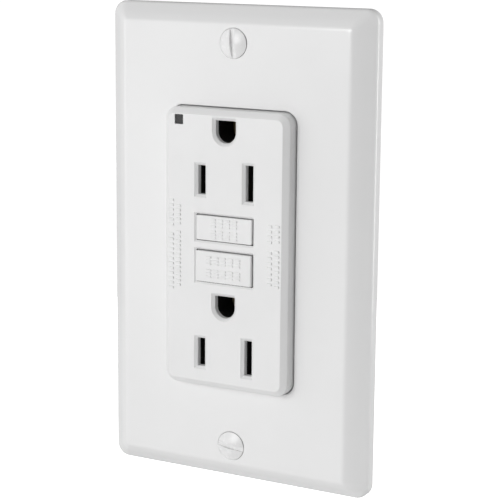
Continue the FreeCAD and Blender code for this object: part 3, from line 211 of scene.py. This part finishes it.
# Lacquer over a ceramic rod
lacquer = surface("tan_lacquered_ceramic", "#C7A77A", "#B79262", 1.5, (0.2, 0.35), 0.6, 0.01)
wear(lacquer, "resistors")
# Clear green lamp epoxy
lamp_epoxy = surface("green_lamp_epoxy", "#4FA865", "#3E9253", 1.0, (0.08, 0.16), 0.8, 0.004)
lamp_epoxy.node_tree.nodes["Principled BSDF"].inputs["Transmission Weight"].default_value = 0.3
wear(lamp_epoxy, "indicator_led")

# ---------------------------------------------------------------- current sensor
# Two ferrite rings coated in blue-grey epoxy powder lie in a black nylon boat on the board.

black_nylon = surface("black_nylon", "#26262A", "#19191C", 4.0, (0.35, 0.55), 0.3, 0.01)
wear(black_nylon, "sensor_boat", "solenoid_bobbin", "contact_carriage")
# Powder coat: orange peel of 0.6 mm
powder = surface("powder_coated_ferrite", "#4A5364", "#3B4352", 3.0, (0.3, 0.45), 0.6, 0.02)
wear(powder, "sensor_rings")

# ---------------------------------------------------------------- trip coil, latch and contact arms
# The plunger, latch plate and pin are nickel plated, the springs drawn steel wire, and the coil is
# enamelled copper wound 0.12 mm thick, drawn here as 0.3 mm turns so that they show.

wear(zinc, "solenoid_frame", "wire_clamps", "ground_clamp")
# Dull nickel with fine turning lines
nickel = surface(
    "nickel_plated_steel", "#CDC9C0", "#A9A59C", 3.0, (0.2, 0.36), 0.15, 0.003, 1.0, (1.0, 0.2, 1.0)
)
wear(nickel, "solenoid_plunger", "latch_plate", "reset_pin", "test_contact")
# Drawn wire, darker and smoother
drawn = surface("drawn_spring_wire", "#8C8F94", "#6E7176", 1.0, (0.2, 0.34), 0.1, 0.002, 1.0)
wear(drawn, "reset_spring", "plunger_spring")
# Springy copper alloy, slightly tarnished
copper = surface("tarnished_copper", "#C98F6C", "#A86F4F", 4.0, (0.26, 0.42), 0.3, 0.004, 1.0)
wear(copper, "hot_contact_arm", "neutral_contact_arm", "test_leaf")
# One band of the wave pattern is 0.314 long at a scale of 1
turn_pitch = 0.3
wave_band = 0.314
winding = surface("enamelled_copper_wire", "#B5673B", "#93502B", 2.0, (0.18, 0.3), 0.4, 0.003, 1.0)
turns_tree = winding.node_tree
spot = add(turns_tree, "ShaderNodeTexCoord")
turn_lines = add(
    turns_tree,
    "ShaderNodeTexWave",
    {"wave_type": "BANDS", "bands_direction": "Z", "Scale": wave_band / (turn_pitch * MM), "Distortion": 0.4},
    {"Vector": spot.outputs["Object"]},
)
groove = add(turns_tree, "ShaderNodeBump", {"Distance": 0.1 * MM}, {"Height": turn_lines.outputs["Fac"]})
turns_tree.links.new(groove.outputs["Normal"], turns_tree.nodes["Principled BSDF"].inputs["Normal"])
wear(winding, "solenoid_coil")

# ---------------------------------------------------------------- contacts, terminals and their screws
# Stamped brass strip with the punch's shine on its faces, silver contact pads, and binding-head screws:
# brass on the hot side, nickel plated on the neutral side.

# Brass that has lost its first shine: patches of 6 mm
brass = surface(
    "stamped_brass", "#D6B266", "#B18F4A", 6.0, (0.24, 0.4), 0.25, 0.004, 1.0, (1.0, 0.3, 1.0)
)
wear(brass, "hot_contact_frame", "neutral_contact_frame", "load_terminals", "line_terminals")
wear(brass, "hot_line_bus", "neutral_line_bus", "upper_ground_contact", "lower_ground_contact")
wear(brass, "ground_rivets", "brass_terminal_screws")
wear(nickel, "silver_terminal_screws")
silver = surface("silver_contact_alloy", "#E2E0DA", "#C4C1B8", 1.5, (0.3, 0.45), 0.2, 0.004, 1.0)
wear(silver, "fixed_contacts")

# ---------------------------------------------------------------- mounting yoke and what is fixed to it
# A strap blanked from galvanised sheet steel, with the green ground screw and two box screws that fibre
# washers hold captive.

# Galvanised sheet: 7 mm spangle and rolling lines along the strap
galvanised = surface(
    "galvanised_sheet", "#BFC4C9", "#9299A0", 7.0, (0.3, 0.5), 0.3, 0.006, 1.0, (1.0, 1.0, 0.25)
)
wear(galvanised, "mounting_yoke")
wear(zinc, "box_screws")
# Red vulcanised fibre, cut from sheet
fibre = surface("vulcanised_fibre", "#7E3A2A", "#662B1E", 2.0, (0.6, 0.8), 0.4, 0.02)
wear(fibre, "screw_retainers")
# Green chromate over zinc: coloured metal
chromate = surface("green_chromate_zinc", "#3F8F57", "#2D6F40", 3.0, (0.25, 0.4), 0.2, 0.004, 0.8)
wear(chromate, "ground_screw")

# ---------------------------------------------------------------- receptacle face
# One moulding of satin white nylon on a flange: a soft shoulder all round, two sockets whose slots and
# ground holes have chamfered lips, and two framed openings for the buttons. It is one white moulding, but
# its walls deep in the slots and round the buttons are drawn nearly black, so that the openings read dark.


def outline(left, right, low, high, radius, top_radius=None, steps=6, along=1):
    """A rounded rectangle seen from the front, anticlockwise: a quarter circle of steps parts at each corner,
    and each straight side in along parts. The upper corners may have a radius of their own."""
    top_radius = radius if top_radius is None else top_radius
    turn = np.linspace(0, np.pi / 2, steps + 1)
    corners = (
        (right - radius, low + radius, radius, -0.5),
        (right - top_radius, high - top_radius, top_radius, 0.0),
        (left + top_radius, high - top_radius, top_radius, 0.5),
        (left + radius, low + radius, radius, 1.0),
    )
    arcs = [
        np.stack([x + r * np.cos(start * np.pi + turn), z + r * np.sin(start * np.pi + turn)], 1)
        for x, z, r, start in corners
    ]
    share = np.linspace(0, 1, along + 1)[1:-1, None]
    path = []
    for arc, after in zip(arcs, arcs[1:] + arcs[:1]):
        path += [arc, arc[-1] + share * (after[0] - arc[-1])]
    return np.concatenate(path)


def softened(corners, radii, steps=4):
    """A bent line with its inner corners eased: each becomes a parabola that starts and ends one radius
    from the corner along the line's two legs."""
    points = np.array(corners, float)
    share = np.linspace(0, 1, steps + 1)[:, None]
    line = [points[:1]]
    for before, corner, after, radius in zip(points, points[1:], points[2:], radii):
        start = corner + radius * (before - corner) / np.linalg.norm(before - corner)
        end = corner + radius * (after - corner) / np.linalg.norm(after - corner)
        line.append((1 - share) ** 2 * start + 2 * share * (1 - share) * corner + share**2 * end)
    line.append(points[-1:])
    return np.concatenate(line)


def skin(shape, profile):
    """A profile carried along an outline. shape(growth) gives the outline grown by that much, and profile
    lists growth and depth; four points, one along and one across, make each face."""
    rings = [np.insert(shape(growth), 1, depth, axis=1) for growth, depth in profile]
    count = len(rings[0])
    here = np.arange(count)
    after = np.roll(here, -1)
    starts = np.arange(len(rings) - 1)[:, None] * count
    quads = np.stack([starts + here, starts + after, starts + after + count, starts + here + count], -1)
    return np.concatenate(rings), quads.reshape(-1, 4).tolist()


def within(points, loop):
    """Whether each point is inside a closed outline: a ray to the right crosses it an odd number of times."""
    x, z = points[:, :1], points[:, 1:]
    start, end = loop, np.roll(loop, -1, 0)
    spans = (start[:, 1] > z) != (end[:, 1] > z)
    rise = np.where(end[:, 1] == start[:, 1], 1.0, end[:, 1] - start[:, 1])
    meets = start[:, 0] + (z - start[:, 1]) * (end[:, 0] - start[:, 0]) / rise
    return (spans & (x < meets)).sum(1) % 2 == 1


def sheet(border, holes, depth, spots=None):
    """A flat net of triangles at one depth, over a convex border, round the holes' outlines and through
    the loose spots, less the triangles whose middle lies in a hole."""
    loops = [border, *holes]
    lengths = [len(loop) for loop in loops]
    firsts = np.concatenate([[0], np.cumsum(lengths)[:-1]])
    edges = [(first + i, first + (i + 1) % n) for first, n in zip(firsts, lengths) for i in range(n)]
    points = np.concatenate(loops + ([] if spots is None else [spots]))
    corners = [Vector(point) for point in points]
    joins = [tuple(map(int, edge)) for edge in edges]
    made, _, faces, *_ = delaunay_2d_cdt(corners, joins, [], 0, 1e-6)
    flat = np.array([tuple(p) for p in made])
    faces = np.array(faces)
    middles = flat[faces].mean(1)
    keep = ~np.any([within(middles, hole) for hole in holes], axis=0) if holes else np.full(len(faces), True)
    return np.insert(flat, 1, depth, axis=1), faces[keep].tolist()


def closed_shell(parts):
    """Joins surfaces given in millimetres into one closed mesh in metres, with its faces outwards."""
    counts = [len(points) for points, _ in parts]
    firsts = np.cumsum([0] + counts[:-1])
    points = np.concatenate([points for points, _ in parts]) * MM
    faces = [[corner + first for corner in face] for (_, part), first in zip(parts, firsts) for face in part]
    rough = bpy.data.meshes.new("rough")
    rough.from_pydata(points.tolist(), [], faces)
    shell = bmesh.new()
    shell.from_mesh(rough)
    bpy.data.meshes.remove(rough)
    bmesh.ops.remove_doubles(shell, verts=shell.verts, dist=2e-7)
    bmesh.ops.dissolve_degenerate(shell, edges=shell.edges, dist=1e-8)
    bmesh.ops.recalc_face_normals(shell, faces=shell.faces)
    if shell.calc_volume(signed=True) < 0:
        bmesh.ops.reverse_faces(shell, faces=shell.faces)
    return shell


def piece(name, shells, finishes, inner=None):
    """One object from closed shells, each a list of surfaces: smooth except at sharp corners. Where
    inner(middles) is true of a face's middle, in millimetres, the face takes the second finish."""
    whole = bmesh.new()
    for parts in shells:
        shell = closed_shell(parts)
        single = bpy.data.meshes.new("single")
        shell.to_mesh(single)
        shell.free()
        whole.from_mesh(single)
        bpy.data.meshes.remove(single)
    mesh = bpy.data.meshes.new(name)
    whole.to_mesh(mesh)
    whole.free()
    mesh.shade_smooth()
    mesh.set_sharp_from_angle(angle=math.radians(35))
    for finish in finishes:
        mesh.materials.append(finish)
    if inner is not None:
        middles = np.empty(3 * len(mesh.polygons), np.float32)
        mesh.polygons.foreach_get("center", middles)
        mesh.polygons.foreach_set("material_index", inner(middles.reshape(-1, 3) / MM).astype(np.int32))
    made = bpy.data.objects.new(name, mesh)
    scene.collection.objects.link(made)
    even = made.modifiers.new("even_shading", "WEIGHTED_NORMAL")
    even.keep_sharp = True
    return made


face_half = np.array([16.55, 33.3])
flange_half = np.array([21.0, 34.4])
face_front = -10.4
skin_back = -8.0
cover_back = -1.3
flange_front = -3.6
slots = [(x, row, tall) for row in (16.6, -25.0) for x, tall in ((-6.35, 6.9), (6.35, 8.5))]
ground_rows = (28.2, -13.4)
button_half = 7.4
button_gap = 0.22
button_rows = {"test_button": (5.35, 2.95), "reset_button": (-3.85, 3.7)}
lens_centre = (-12.25, 30.55)
dark_depth = 2.0
button_dark_depth = 0.5
edge_flat = 0.05
socket_chamfer = 0.7
button_chamfer = 0.45
lens_chamfer = 0.02
well_wall = 1.1
shoulder_wide = 1.4
shoulder_deep = 1.2
shoulder_flat = -1.5
pilot_in = -1.19


def face_shape(growth):
    across_half, up_half = face_half + growth
    return outline(-across_half, across_half, -up_half, up_half, 3.0 + growth, steps=10, along=8)


def flange_shape(growth):
    across_half, up_half = flange_half + growth
    return outline(-across_half, across_half, -up_half, up_half, 2.0, steps=10, along=8)


def hollow_shape(growth):
    """The hollow behind the face. Its top wall is thinner, to leave room for the upper ground well."""
    across_half, down = face_half - 2.4 + growth
    return outline(-across_half, across_half, -down, face_half[1] - 1.1 + growth, 1.5, steps=4)


def slot_shape(x, row, tall):
    half, up_half = 1.0, tall / 2
    return lambda growth: outline(
        x - half - growth, x + half + growth, row - up_half - growth, row + up_half + growth, 0.12, steps=2
    )


def ground_shape(row):
    """Round below, flat on top with small corners."""
    radius = 2.65
    return lambda growth: outline(
        -radius - growth, radius + growth, row - radius - growth, row + radius + growth,
        radius + growth, 0.25, steps=12,
    )


def button_shape(row, up_half, gap):
    half = button_half + gap
    return lambda growth: outline(
        -half - growth, half + growth, row - up_half - gap - growth, row + up_half + gap + growth,
        0.2, steps=3,
    )


def lens_shape(growth):
    x, z = lens_centre
    half = 1.15 + growth
    return outline(x - half, x + half, z - half, z + half, 0.1, steps=2)


def lip(width, deep, wall, edge=edge_flat / 2):
    """From the flat face over a chamfer of that width and depth, then straight in to the wall's end, with a
    ring on the way at the depth where a socket's walls are drawn dark."""
    start = [(width + 2 * edge, face_front), (width, face_front), (0.0, face_front + deep)]
    return softened([*start, (0.0, face_front + dark_depth), (0.0, wall)], (edge, edge, 0.01), steps=3)


def well(shape, chamfer, deep):
    """The two walls behind a slot: its lip and inside, round its back end, and up its outside."""
    inside = lip(chamfer, deep, cover_back)
    outside = [(well_wall, cover_back), (well_wall, skin_back)]
    return skin(shape, np.concatenate([inside, outside]))


def raised_bar(x, z, width, height, base, rise):
    """The shell of a small raised mark: an upright rim eased into a flat top, its foot sunk in the face."""
    foot = lambda growth: outline(
        x - width / 2 - growth, x + width / 2 + growth, z - height / 2 - growth, z + height / 2 + growth,
        max(0.12 + growth, 0.02), steps=2,
    )
    sunk = base + 0.1
    crest = base - rise
    top_in = -0.06
    profile = softened([(0.0, sunk), (0.0, crest), (top_in, crest)], (0.03,), steps=2)
    top = foot(top_in)
    whole = [list(range(len(top)))]
    return [
        skin(foot, profile),
        (np.insert(top, 1, crest, axis=1), whole),
        (np.insert(foot(0.0), 1, sunk, axis=1), whole),
    ]


def mark_column(x, low, high, words, base, width=1.3, rise=0.3):
    """A column of short raised bars in groups, in place of moulded wording."""
    marks = []
    total = sum(words) + len(words) - 1
    z = high
    step = (high - low) / total
    for length in words:
        for _ in range(length):
            marks.append(raised_bar(x, z - step / 2, width, step * 0.5, base, rise))
            z -= step
        z -= step
    return marks


def post_shape(x, z):
    """One of the four round posts on the cover's back, into which the housing screws go."""
    radius = 2.5
    return lambda growth: outline(
        x - radius - growth, x + radius + growth, z - radius - growth, z + radius + growth,
        radius + growth, steps=8,
    )


posts = [post_shape(x, z) for x in (-17.4, 17.4) for z in (-30.8, 30.8)]
post_back = 4.0
bore_end = -2.35
shoulder = softened(
    [
        (0.0, flange_front),
        (0.0, face_front + shoulder_deep),
        (-shoulder_wide, face_front),
        (shoulder_flat, face_front),
    ],
    (0.3, 0.09),
    steps=6,
)
slot_lips = [(slot_shape(*slot), socket_chamfer, socket_chamfer) for slot in slots]
ground_lips = [(ground_shape(row), socket_chamfer, socket_chamfer) for row in ground_rows]
button_openings = [button_shape(row, half, button_gap) for row, half in button_rows.values()]
front_holes = [shape(chamfer + edge_flat) for shape, chamfer, _ in slot_lips + ground_lips]
front_holes += [shape(button_chamfer + edge_flat) for shape in button_openings]
front_holes.append(lens_shape(lens_chamfer + edge_flat))
back_holes = [shape(well_wall) for shape, *_ in slot_lips + ground_lips]
back_holes += [shape(0.0) for shape in button_openings] + [lens_shape(0.0)]
cover_parts = [
    sheet(face_shape(shoulder_flat), front_holes, face_front),
    skin(face_shape, shoulder),
    sheet(flange_shape(0.0), [face_shape(0.0)], flange_front),
    skin(flange_shape, [(0.0, flange_front), (0.0, cover_back)]),
    sheet(flange_shape(0.0), [hollow_shape(0.0)] + [post(0.0) for post in posts], cover_back),
    skin(hollow_shape, [(0.0, cover_back), (0.0, skin_back)]),
    sheet(hollow_shape(0.0), back_holes, skin_back),
]
cover_parts += [well(*slot) for slot in slot_lips + ground_lips]
for post in posts:
    cover_parts.append(skin(post, [(0.0, cover_back), (0.0, post_back)]))
    cover_parts.append(sheet(post(0.0), [post(pilot_in)], post_back))
    cover_parts.append(skin(post, [(pilot_in, post_back), (pilot_in, bore_end)]))
    cover_parts.append(sheet(post(pilot_in), [], bore_end))
cover_parts += [skin(shape, lip(button_chamfer, button_chamfer, skin_back)) for shape in button_openings]
cover_parts.append(skin(lens_shape, lip(lens_chamfer, lens_chamfer, skin_back)))
face_marks = []
face_marks += mark_column(-14.3, -10.5, 11.9, (6, 12), face_front)
face_marks += mark_column(-12.4, -9.6, 10.6, (5, 13), face_front)
face_marks += mark_column(12.1, -7.0, 7.9, (4, 7), face_front)
face_marks += mark_column(14.0, -7.4, 8.0, (4, 8), face_front)

# Satin nylon: a 0.5 mm tumbled grain, barely raised, and a soft gloss
satin = surface("satin_white_nylon", "#EEEEEE", "#EBEBEB", 14.0, (0.34, 0.42), 0.5, 0.0015)
# Stands for the darkness in a deep opening and isn't another material of the real piece
shaded = surface("shaded_opening_walls", "#101012", "#0A0A0B", 3.0, (0.5, 0.7), 0.3, 0.01)


def is_dark(middles):
    """True on the walls deep in the slots and ground holes, and past the mouth of the button openings."""
    flat = middles[:, [0, 2]]
    dark = np.zeros(len(flat), bool)
    for shape, *_ in slot_lips + ground_lips:
        dark |= within(flat, shape(0.05)) & (middles[:, 1] > face_front + dark_depth)
    for shape in button_openings:
        dark |= within(flat, shape(0.05)) & (middles[:, 1] > face_front + button_dark_depth)
    return dark


receptacle_face = piece("receptacle_face", [cover_parts, *face_marks], (satin, shaded), inner=is_dark)
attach(receptacle_face, "device")
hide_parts("front_cover")

# ---------------------------------------------------------------- TEST and RESET buttons
# Two caps of the same satin nylon with eased edges, each with a wider foot behind the face that keeps it
# in. In place of wording each carries two rows of plain raised marks.

button_proud = {"test_button": 0.1, "reset_button": 0.35}
button_marks = {"test_button": (4, 1.9, 1.36), "reset_button": (5, 1.95, 1.55)}
button_flat = -0.9
foot_play = 0.15
foot_thick = 1.0
foot_reach = 0.75
stem_radius = 1.4
stem_step = -0.7
stem_end = 0.05
pin_bore_deep = 2.0
bar_size = (1.45, 0.44)
bar_rise = 0.25
bar_step = 0.8


def button_shells(name):
    """The cap's front, its eased edge and sides, the foot's step and sides, and its back. Behind it TEST has
    a stepped stem, and RESET a blind bore in which the steel pin is pressed."""
    row, up_half = button_rows[name]
    shape = button_shape(row, up_half, 0.0)
    cap_front = face_front - button_proud[name]
    foot_front = skin_back + foot_play
    foot_back = foot_front + foot_thick
    profile = softened(
        [
            (button_flat, cap_front),
            (0.0, cap_front),
            (0.0, foot_front),
            (foot_reach, foot_front),
            (foot_reach, foot_back),
            (0.0, foot_back),
        ],
        (0.3, 0.02, 0.02, 0.02),
        steps=5,
    )
    pin = lambda growth: outline(
        -stem_radius - growth, stem_radius + growth, row - stem_radius - growth, row + stem_radius + growth,
        stem_radius + growth, steps=8,
    )
    if name == "test_button":
        line = [(0.0, foot_back), (0.0, cover_back), (stem_step, cover_back), (stem_step, stem_end)]
    else:
        bore_back = foot_back - pin_bore_deep
        line = [(0.0, foot_back), (0.0, bore_back), (stem_step, bore_back)]
    parts = [
        sheet(shape(button_flat), [], cap_front),
        skin(shape, profile),
        sheet(shape(0.0), [pin(0.0)], foot_back),
        skin(pin, line),
        sheet(pin(stem_step), [], line[-1][1]),
    ]
    shells = [parts]
    count, pitch, offset = button_marks[name]
    for side in (1, -1):
        for order in range(count):
            x = (order - (count - 1) / 2) * pitch
            z = row + side * offset
            for step in (-bar_step, 0.0, bar_step):
                shells.append(raised_bar(x, z + step, *bar_size, cap_front, bar_rise))
    return shells


for name in button_rows:
    cap = piece(name + "_cap", button_shells(name), (satin,))
    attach(cap, name)
    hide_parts(name)

# ---------------------------------------------------------------- indicator window
# The end of a smoked light pipe, a little below the face; it looks nearly black while the lamp is off.

smoke = surface("smoked_acrylic", "#2E2E30", "#1A1A1C", 1.0, (0.1, 0.2), 0.5, 0.01)
smoke.node_tree.nodes["Principled BSDF"].inputs["Coat Weight"].default_value = 0.3
wear(smoke, "indicator_lens")

# ---------------------------------------------------------------- wall plate
# A glossy white thermoplastic cover, moulded hollow: upright rim, wide bevel, and a front crowned by less
# than a quarter of a millimetre. Its opening fits round the face, and two countersunk holes take its screws.

plate_half = np.array([34.925, 57.15])
crease_depth = -6.35
crown = 0.25
crease_in = -5.1
plate_hole = 3.66
bevel_share = np.array([1.0, 0.85])
front_in = crease_in - 0.6
rim_wall = -1.9
hollow_in = -4.3
plate_back = -4.7
boss_wall = 1.1
boss_back = -4.3
sink = 1.72
sink_flat = 0.12
opening_flat = 0.7
opening_gap = 0.25
crown_reach = 1.0


def plate_shape(growth):
    """The corners' radius falls from 3.2 mm at the rim to 0.8 mm at the crease. Top and bottom draw in less
    than the sides."""
    across_half, up_half = plate_half + growth * bevel_share
    radius = 3.2 + 2.4 * np.clip(growth / -crease_in, -1, 0)
    return outline(-across_half, across_half, -up_half, up_half, radius, steps=8, along=24)


def opening_shape(growth):
    across_half, up_half = face_half + opening_gap + growth
    radius = 3.0 + opening_gap + growth
    return outline(-across_half, across_half, -up_half, up_half, radius, steps=10, along=16)


def screw_shape(z):
    return lambda growth: outline(
        -plate_hole - growth, plate_hole + growth, z - plate_hole - growth, z + plate_hole + growth,
        plate_hole + growth, steps=12,
    )


def crowned(part):
    """Lifts the front by the crown: most at the middle, falling off as one less the square of the way
    across, times one less the square of the way up, to nothing at the crease. Points well
    behind it stay."""
    points, faces = part
    front_half = plate_half + front_in * bevel_share
    away = 1 - (points[:, [0, 2]] / front_half) ** 2
    lifted = points.copy()
    lifted[:, 1] -= crown * np.clip(away, 0, 1).prod(1) * (points[:, 1] < crease_depth + crown_reach)
    return lifted, faces


rim_profile = softened(
    [
        (rim_wall, 0.0),
        (0.0, 0.0),
        (0.0, -2.8),
        (-3.4, -5.4),
        (crease_in, crease_depth),
        (front_in, crease_depth),
    ],
    (0.25, 0.7, 1.3, 0.58),
    steps=5,
)
hollow_profile = [(rim_wall, 0.0), (rim_wall, -1.5), (hollow_in, plate_back)]
opening_profile = softened(
    [(opening_flat, crease_depth), (0.0, crease_depth), (0.0, plate_back)], (0.35,), steps=5
)
sink_profile = softened(
    [
        (sink_flat, crease_depth),
        (0.0, crease_depth),
        (-sink, crease_depth + sink),
        (-sink, boss_back),
        (boss_wall, boss_back),
        (boss_wall, plate_back),
    ],
    (0.1, 0.02, 0.02, 0.02),
    steps=3,
)
screw_rows = (48.42, -48.42)
front_border = plate_shape(front_in)
front_cuts = [opening_shape(opening_flat)] + [screw_shape(z)(sink_flat) for z in screw_rows]
hollow_cuts = [opening_shape(0.0)] + [screw_shape(z)(boss_wall) for z in screw_rows]
# Spots that carry the crown: 1.9 mm apart across and 2.1 mm up, none close to a hole
columns = np.arange(-28.5, 28.6, 1.9)
rows = np.arange(-50.4, 50.5, 2.1)
grid = np.stack(np.meshgrid(columns, rows), -1).reshape(-1, 2)
kept_clear = [opening_shape(1.3)] + [screw_shape(z)(0.9) for z in screw_rows]
near = np.any([within(grid, hole) for hole in kept_clear], 0)
plate_parts = [
    skin(plate_shape, rim_profile),
    crowned(sheet(front_border, front_cuts, crease_depth, grid[~near])),
    crowned(skin(opening_shape, opening_profile)),
    skin(plate_shape, hollow_profile),
    sheet(plate_shape(hollow_in), hollow_cuts, plate_back),
]
plate_parts += [crowned(skin(screw_shape(z), sink_profile)) for z in screw_rows]
# Polished mould: high gloss over faint sink waves some 6 mm long
gloss_plate = surface("polished_white_plate", "#F0F0F0", "#EEEEEE", 25.0, (0.16, 0.22), 6.0, 0.004)
wall_plate = piece("wall_plate_cover", [plate_parts], (gloss_plate,))
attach(wall_plate, "device")
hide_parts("wall_plate")

# ---------------------------------------------------------------- plate screws
# Oval-head steel screws in baked white enamel. The slot is milled after heading, so its edges are crisp; its
# floor is coloured grey as painted shade.

head_radius = 3.45
head_rise = 0.85
slot_half = 0.56
slot_floor = 0.3
head_front = -6.5
slot_ease = 0.14
slot_band = 0.05
head_edge = 0.12
cone_start = -0.02
cone_in = -1.7
cone_deep = 2.1
shank_deep = 12.0


def screw_shells(z, turn):
    """The head is a net of chords that run along the slot: each point's height is the dome's, which falls
    with the square of its way out, or the slot's floor between the slot's two walls. A smaller flat copy
    closes it behind. Cone and shank are a second shell behind the head."""
    walls = np.array([0.0, 0.3, 0.48, slot_half - 0.02, slot_half, slot_half + 0.06, slot_half + slot_ease])
    outer = np.linspace(slot_half + 0.3, head_radius * 0.995, 18)
    side = np.concatenate([walls, outer])
    u = np.concatenate([-side[::-1], side[1:]])
    v = np.concatenate([[-1.0], np.linspace(-1, 1, 41), [1.0]])
    chord = np.sqrt(head_radius**2 - u**2)
    across_points = np.broadcast_to(u[:, None], (len(u), len(v)))
    up_points = chord[:, None] * v
    away = (across_points**2 + up_points**2) / head_radius**2
    eased = np.clip((np.abs(u) - slot_half) / slot_ease, 0, 1)[:, None]
    dome = -head_rise * (1 - away) + 0.08 * (1 - eased) ** 2
    height = np.where(np.abs(u)[:, None] < slot_half - 0.01, slot_floor, dome)
    height[:, [0, -1]] = head_edge
    angle = math.radians(turn)
    x = across_points * math.cos(angle) + up_points * math.sin(angle)
    rise = -across_points * math.sin(angle) + up_points * math.cos(angle)
    front = np.stack([x, head_front + height, z + rise], -1)
    shrunk = (head_radius - 0.4) / head_radius
    behind = np.stack([x * shrunk, np.full_like(x, head_front + 0.52), z + rise * shrunk], -1)
    points = np.concatenate([front.reshape(-1, 3), behind.reshape(-1, 3)])
    count = front.shape[0] * front.shape[1]
    index = np.arange(count).reshape(front.shape[:2])
    corners = (index[:-1, :-1], index[:-1, 1:], index[1:, 1:], index[1:, :-1])
    quads = np.stack(corners, -1).reshape(-1, 4)
    around = np.concatenate([index[0], index[1:, -1], index[-1, -2::-1], index[-2:0:-1, 0]])
    after = np.roll(around, -1)
    edge_quads = np.stack([around, after, after + count, around + count], -1)
    quads = np.concatenate([quads, quads[:, ::-1] + count, edge_quads])
    round_shape = lambda growth: outline(
        -head_radius - growth, head_radius + growth, z - head_radius - growth, z + head_radius + growth,
        head_radius + growth, steps=12,
    )
    body_line = [
        (cone_start, head_front + head_edge),
        (cone_in, head_front + cone_deep),
        (cone_in, head_front + shank_deep),
    ]
    return [
        [(points, quads.tolist())],
        [
            skin(round_shape, body_line),
            sheet(round_shape(cone_start), [], head_front + head_edge),
            sheet(round_shape(cone_in), [], head_front + shank_deep),
        ],
    ]


# Baked enamel: orange peel of 0.7 mm and a clear gloss; the grey on the slot's floor is painted shade
enamel = surface("baked_white_enamel", "#EFEFEF", "#E8E8E8", 3.0, (0.2, 0.3), 0.7, 0.004)
slot_painted_shade = surface("painted_shade_in_slot", "#B2B2B2", "#A2A2A2", 1.0, (0.35, 0.5), 0.2, 0.004)


def in_slot(middles):
    """True on the slot's floor, which is coloured grey as painted shade."""
    low = head_front + slot_floor - slot_band
    high = head_front + slot_floor + slot_band
    return (middles[:, 1] > low) & (middles[:, 1] < high)


for side, z, turn in (("upper", screw_rows[0], -5.0), ("lower", screw_rows[1], 97.0)):
    screw = piece(side + "_plate_screw", screw_shells(z, turn), (enamel, slot_painted_shade), inner=in_slot)
    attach(screw, "device")
    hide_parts("plate_screws")
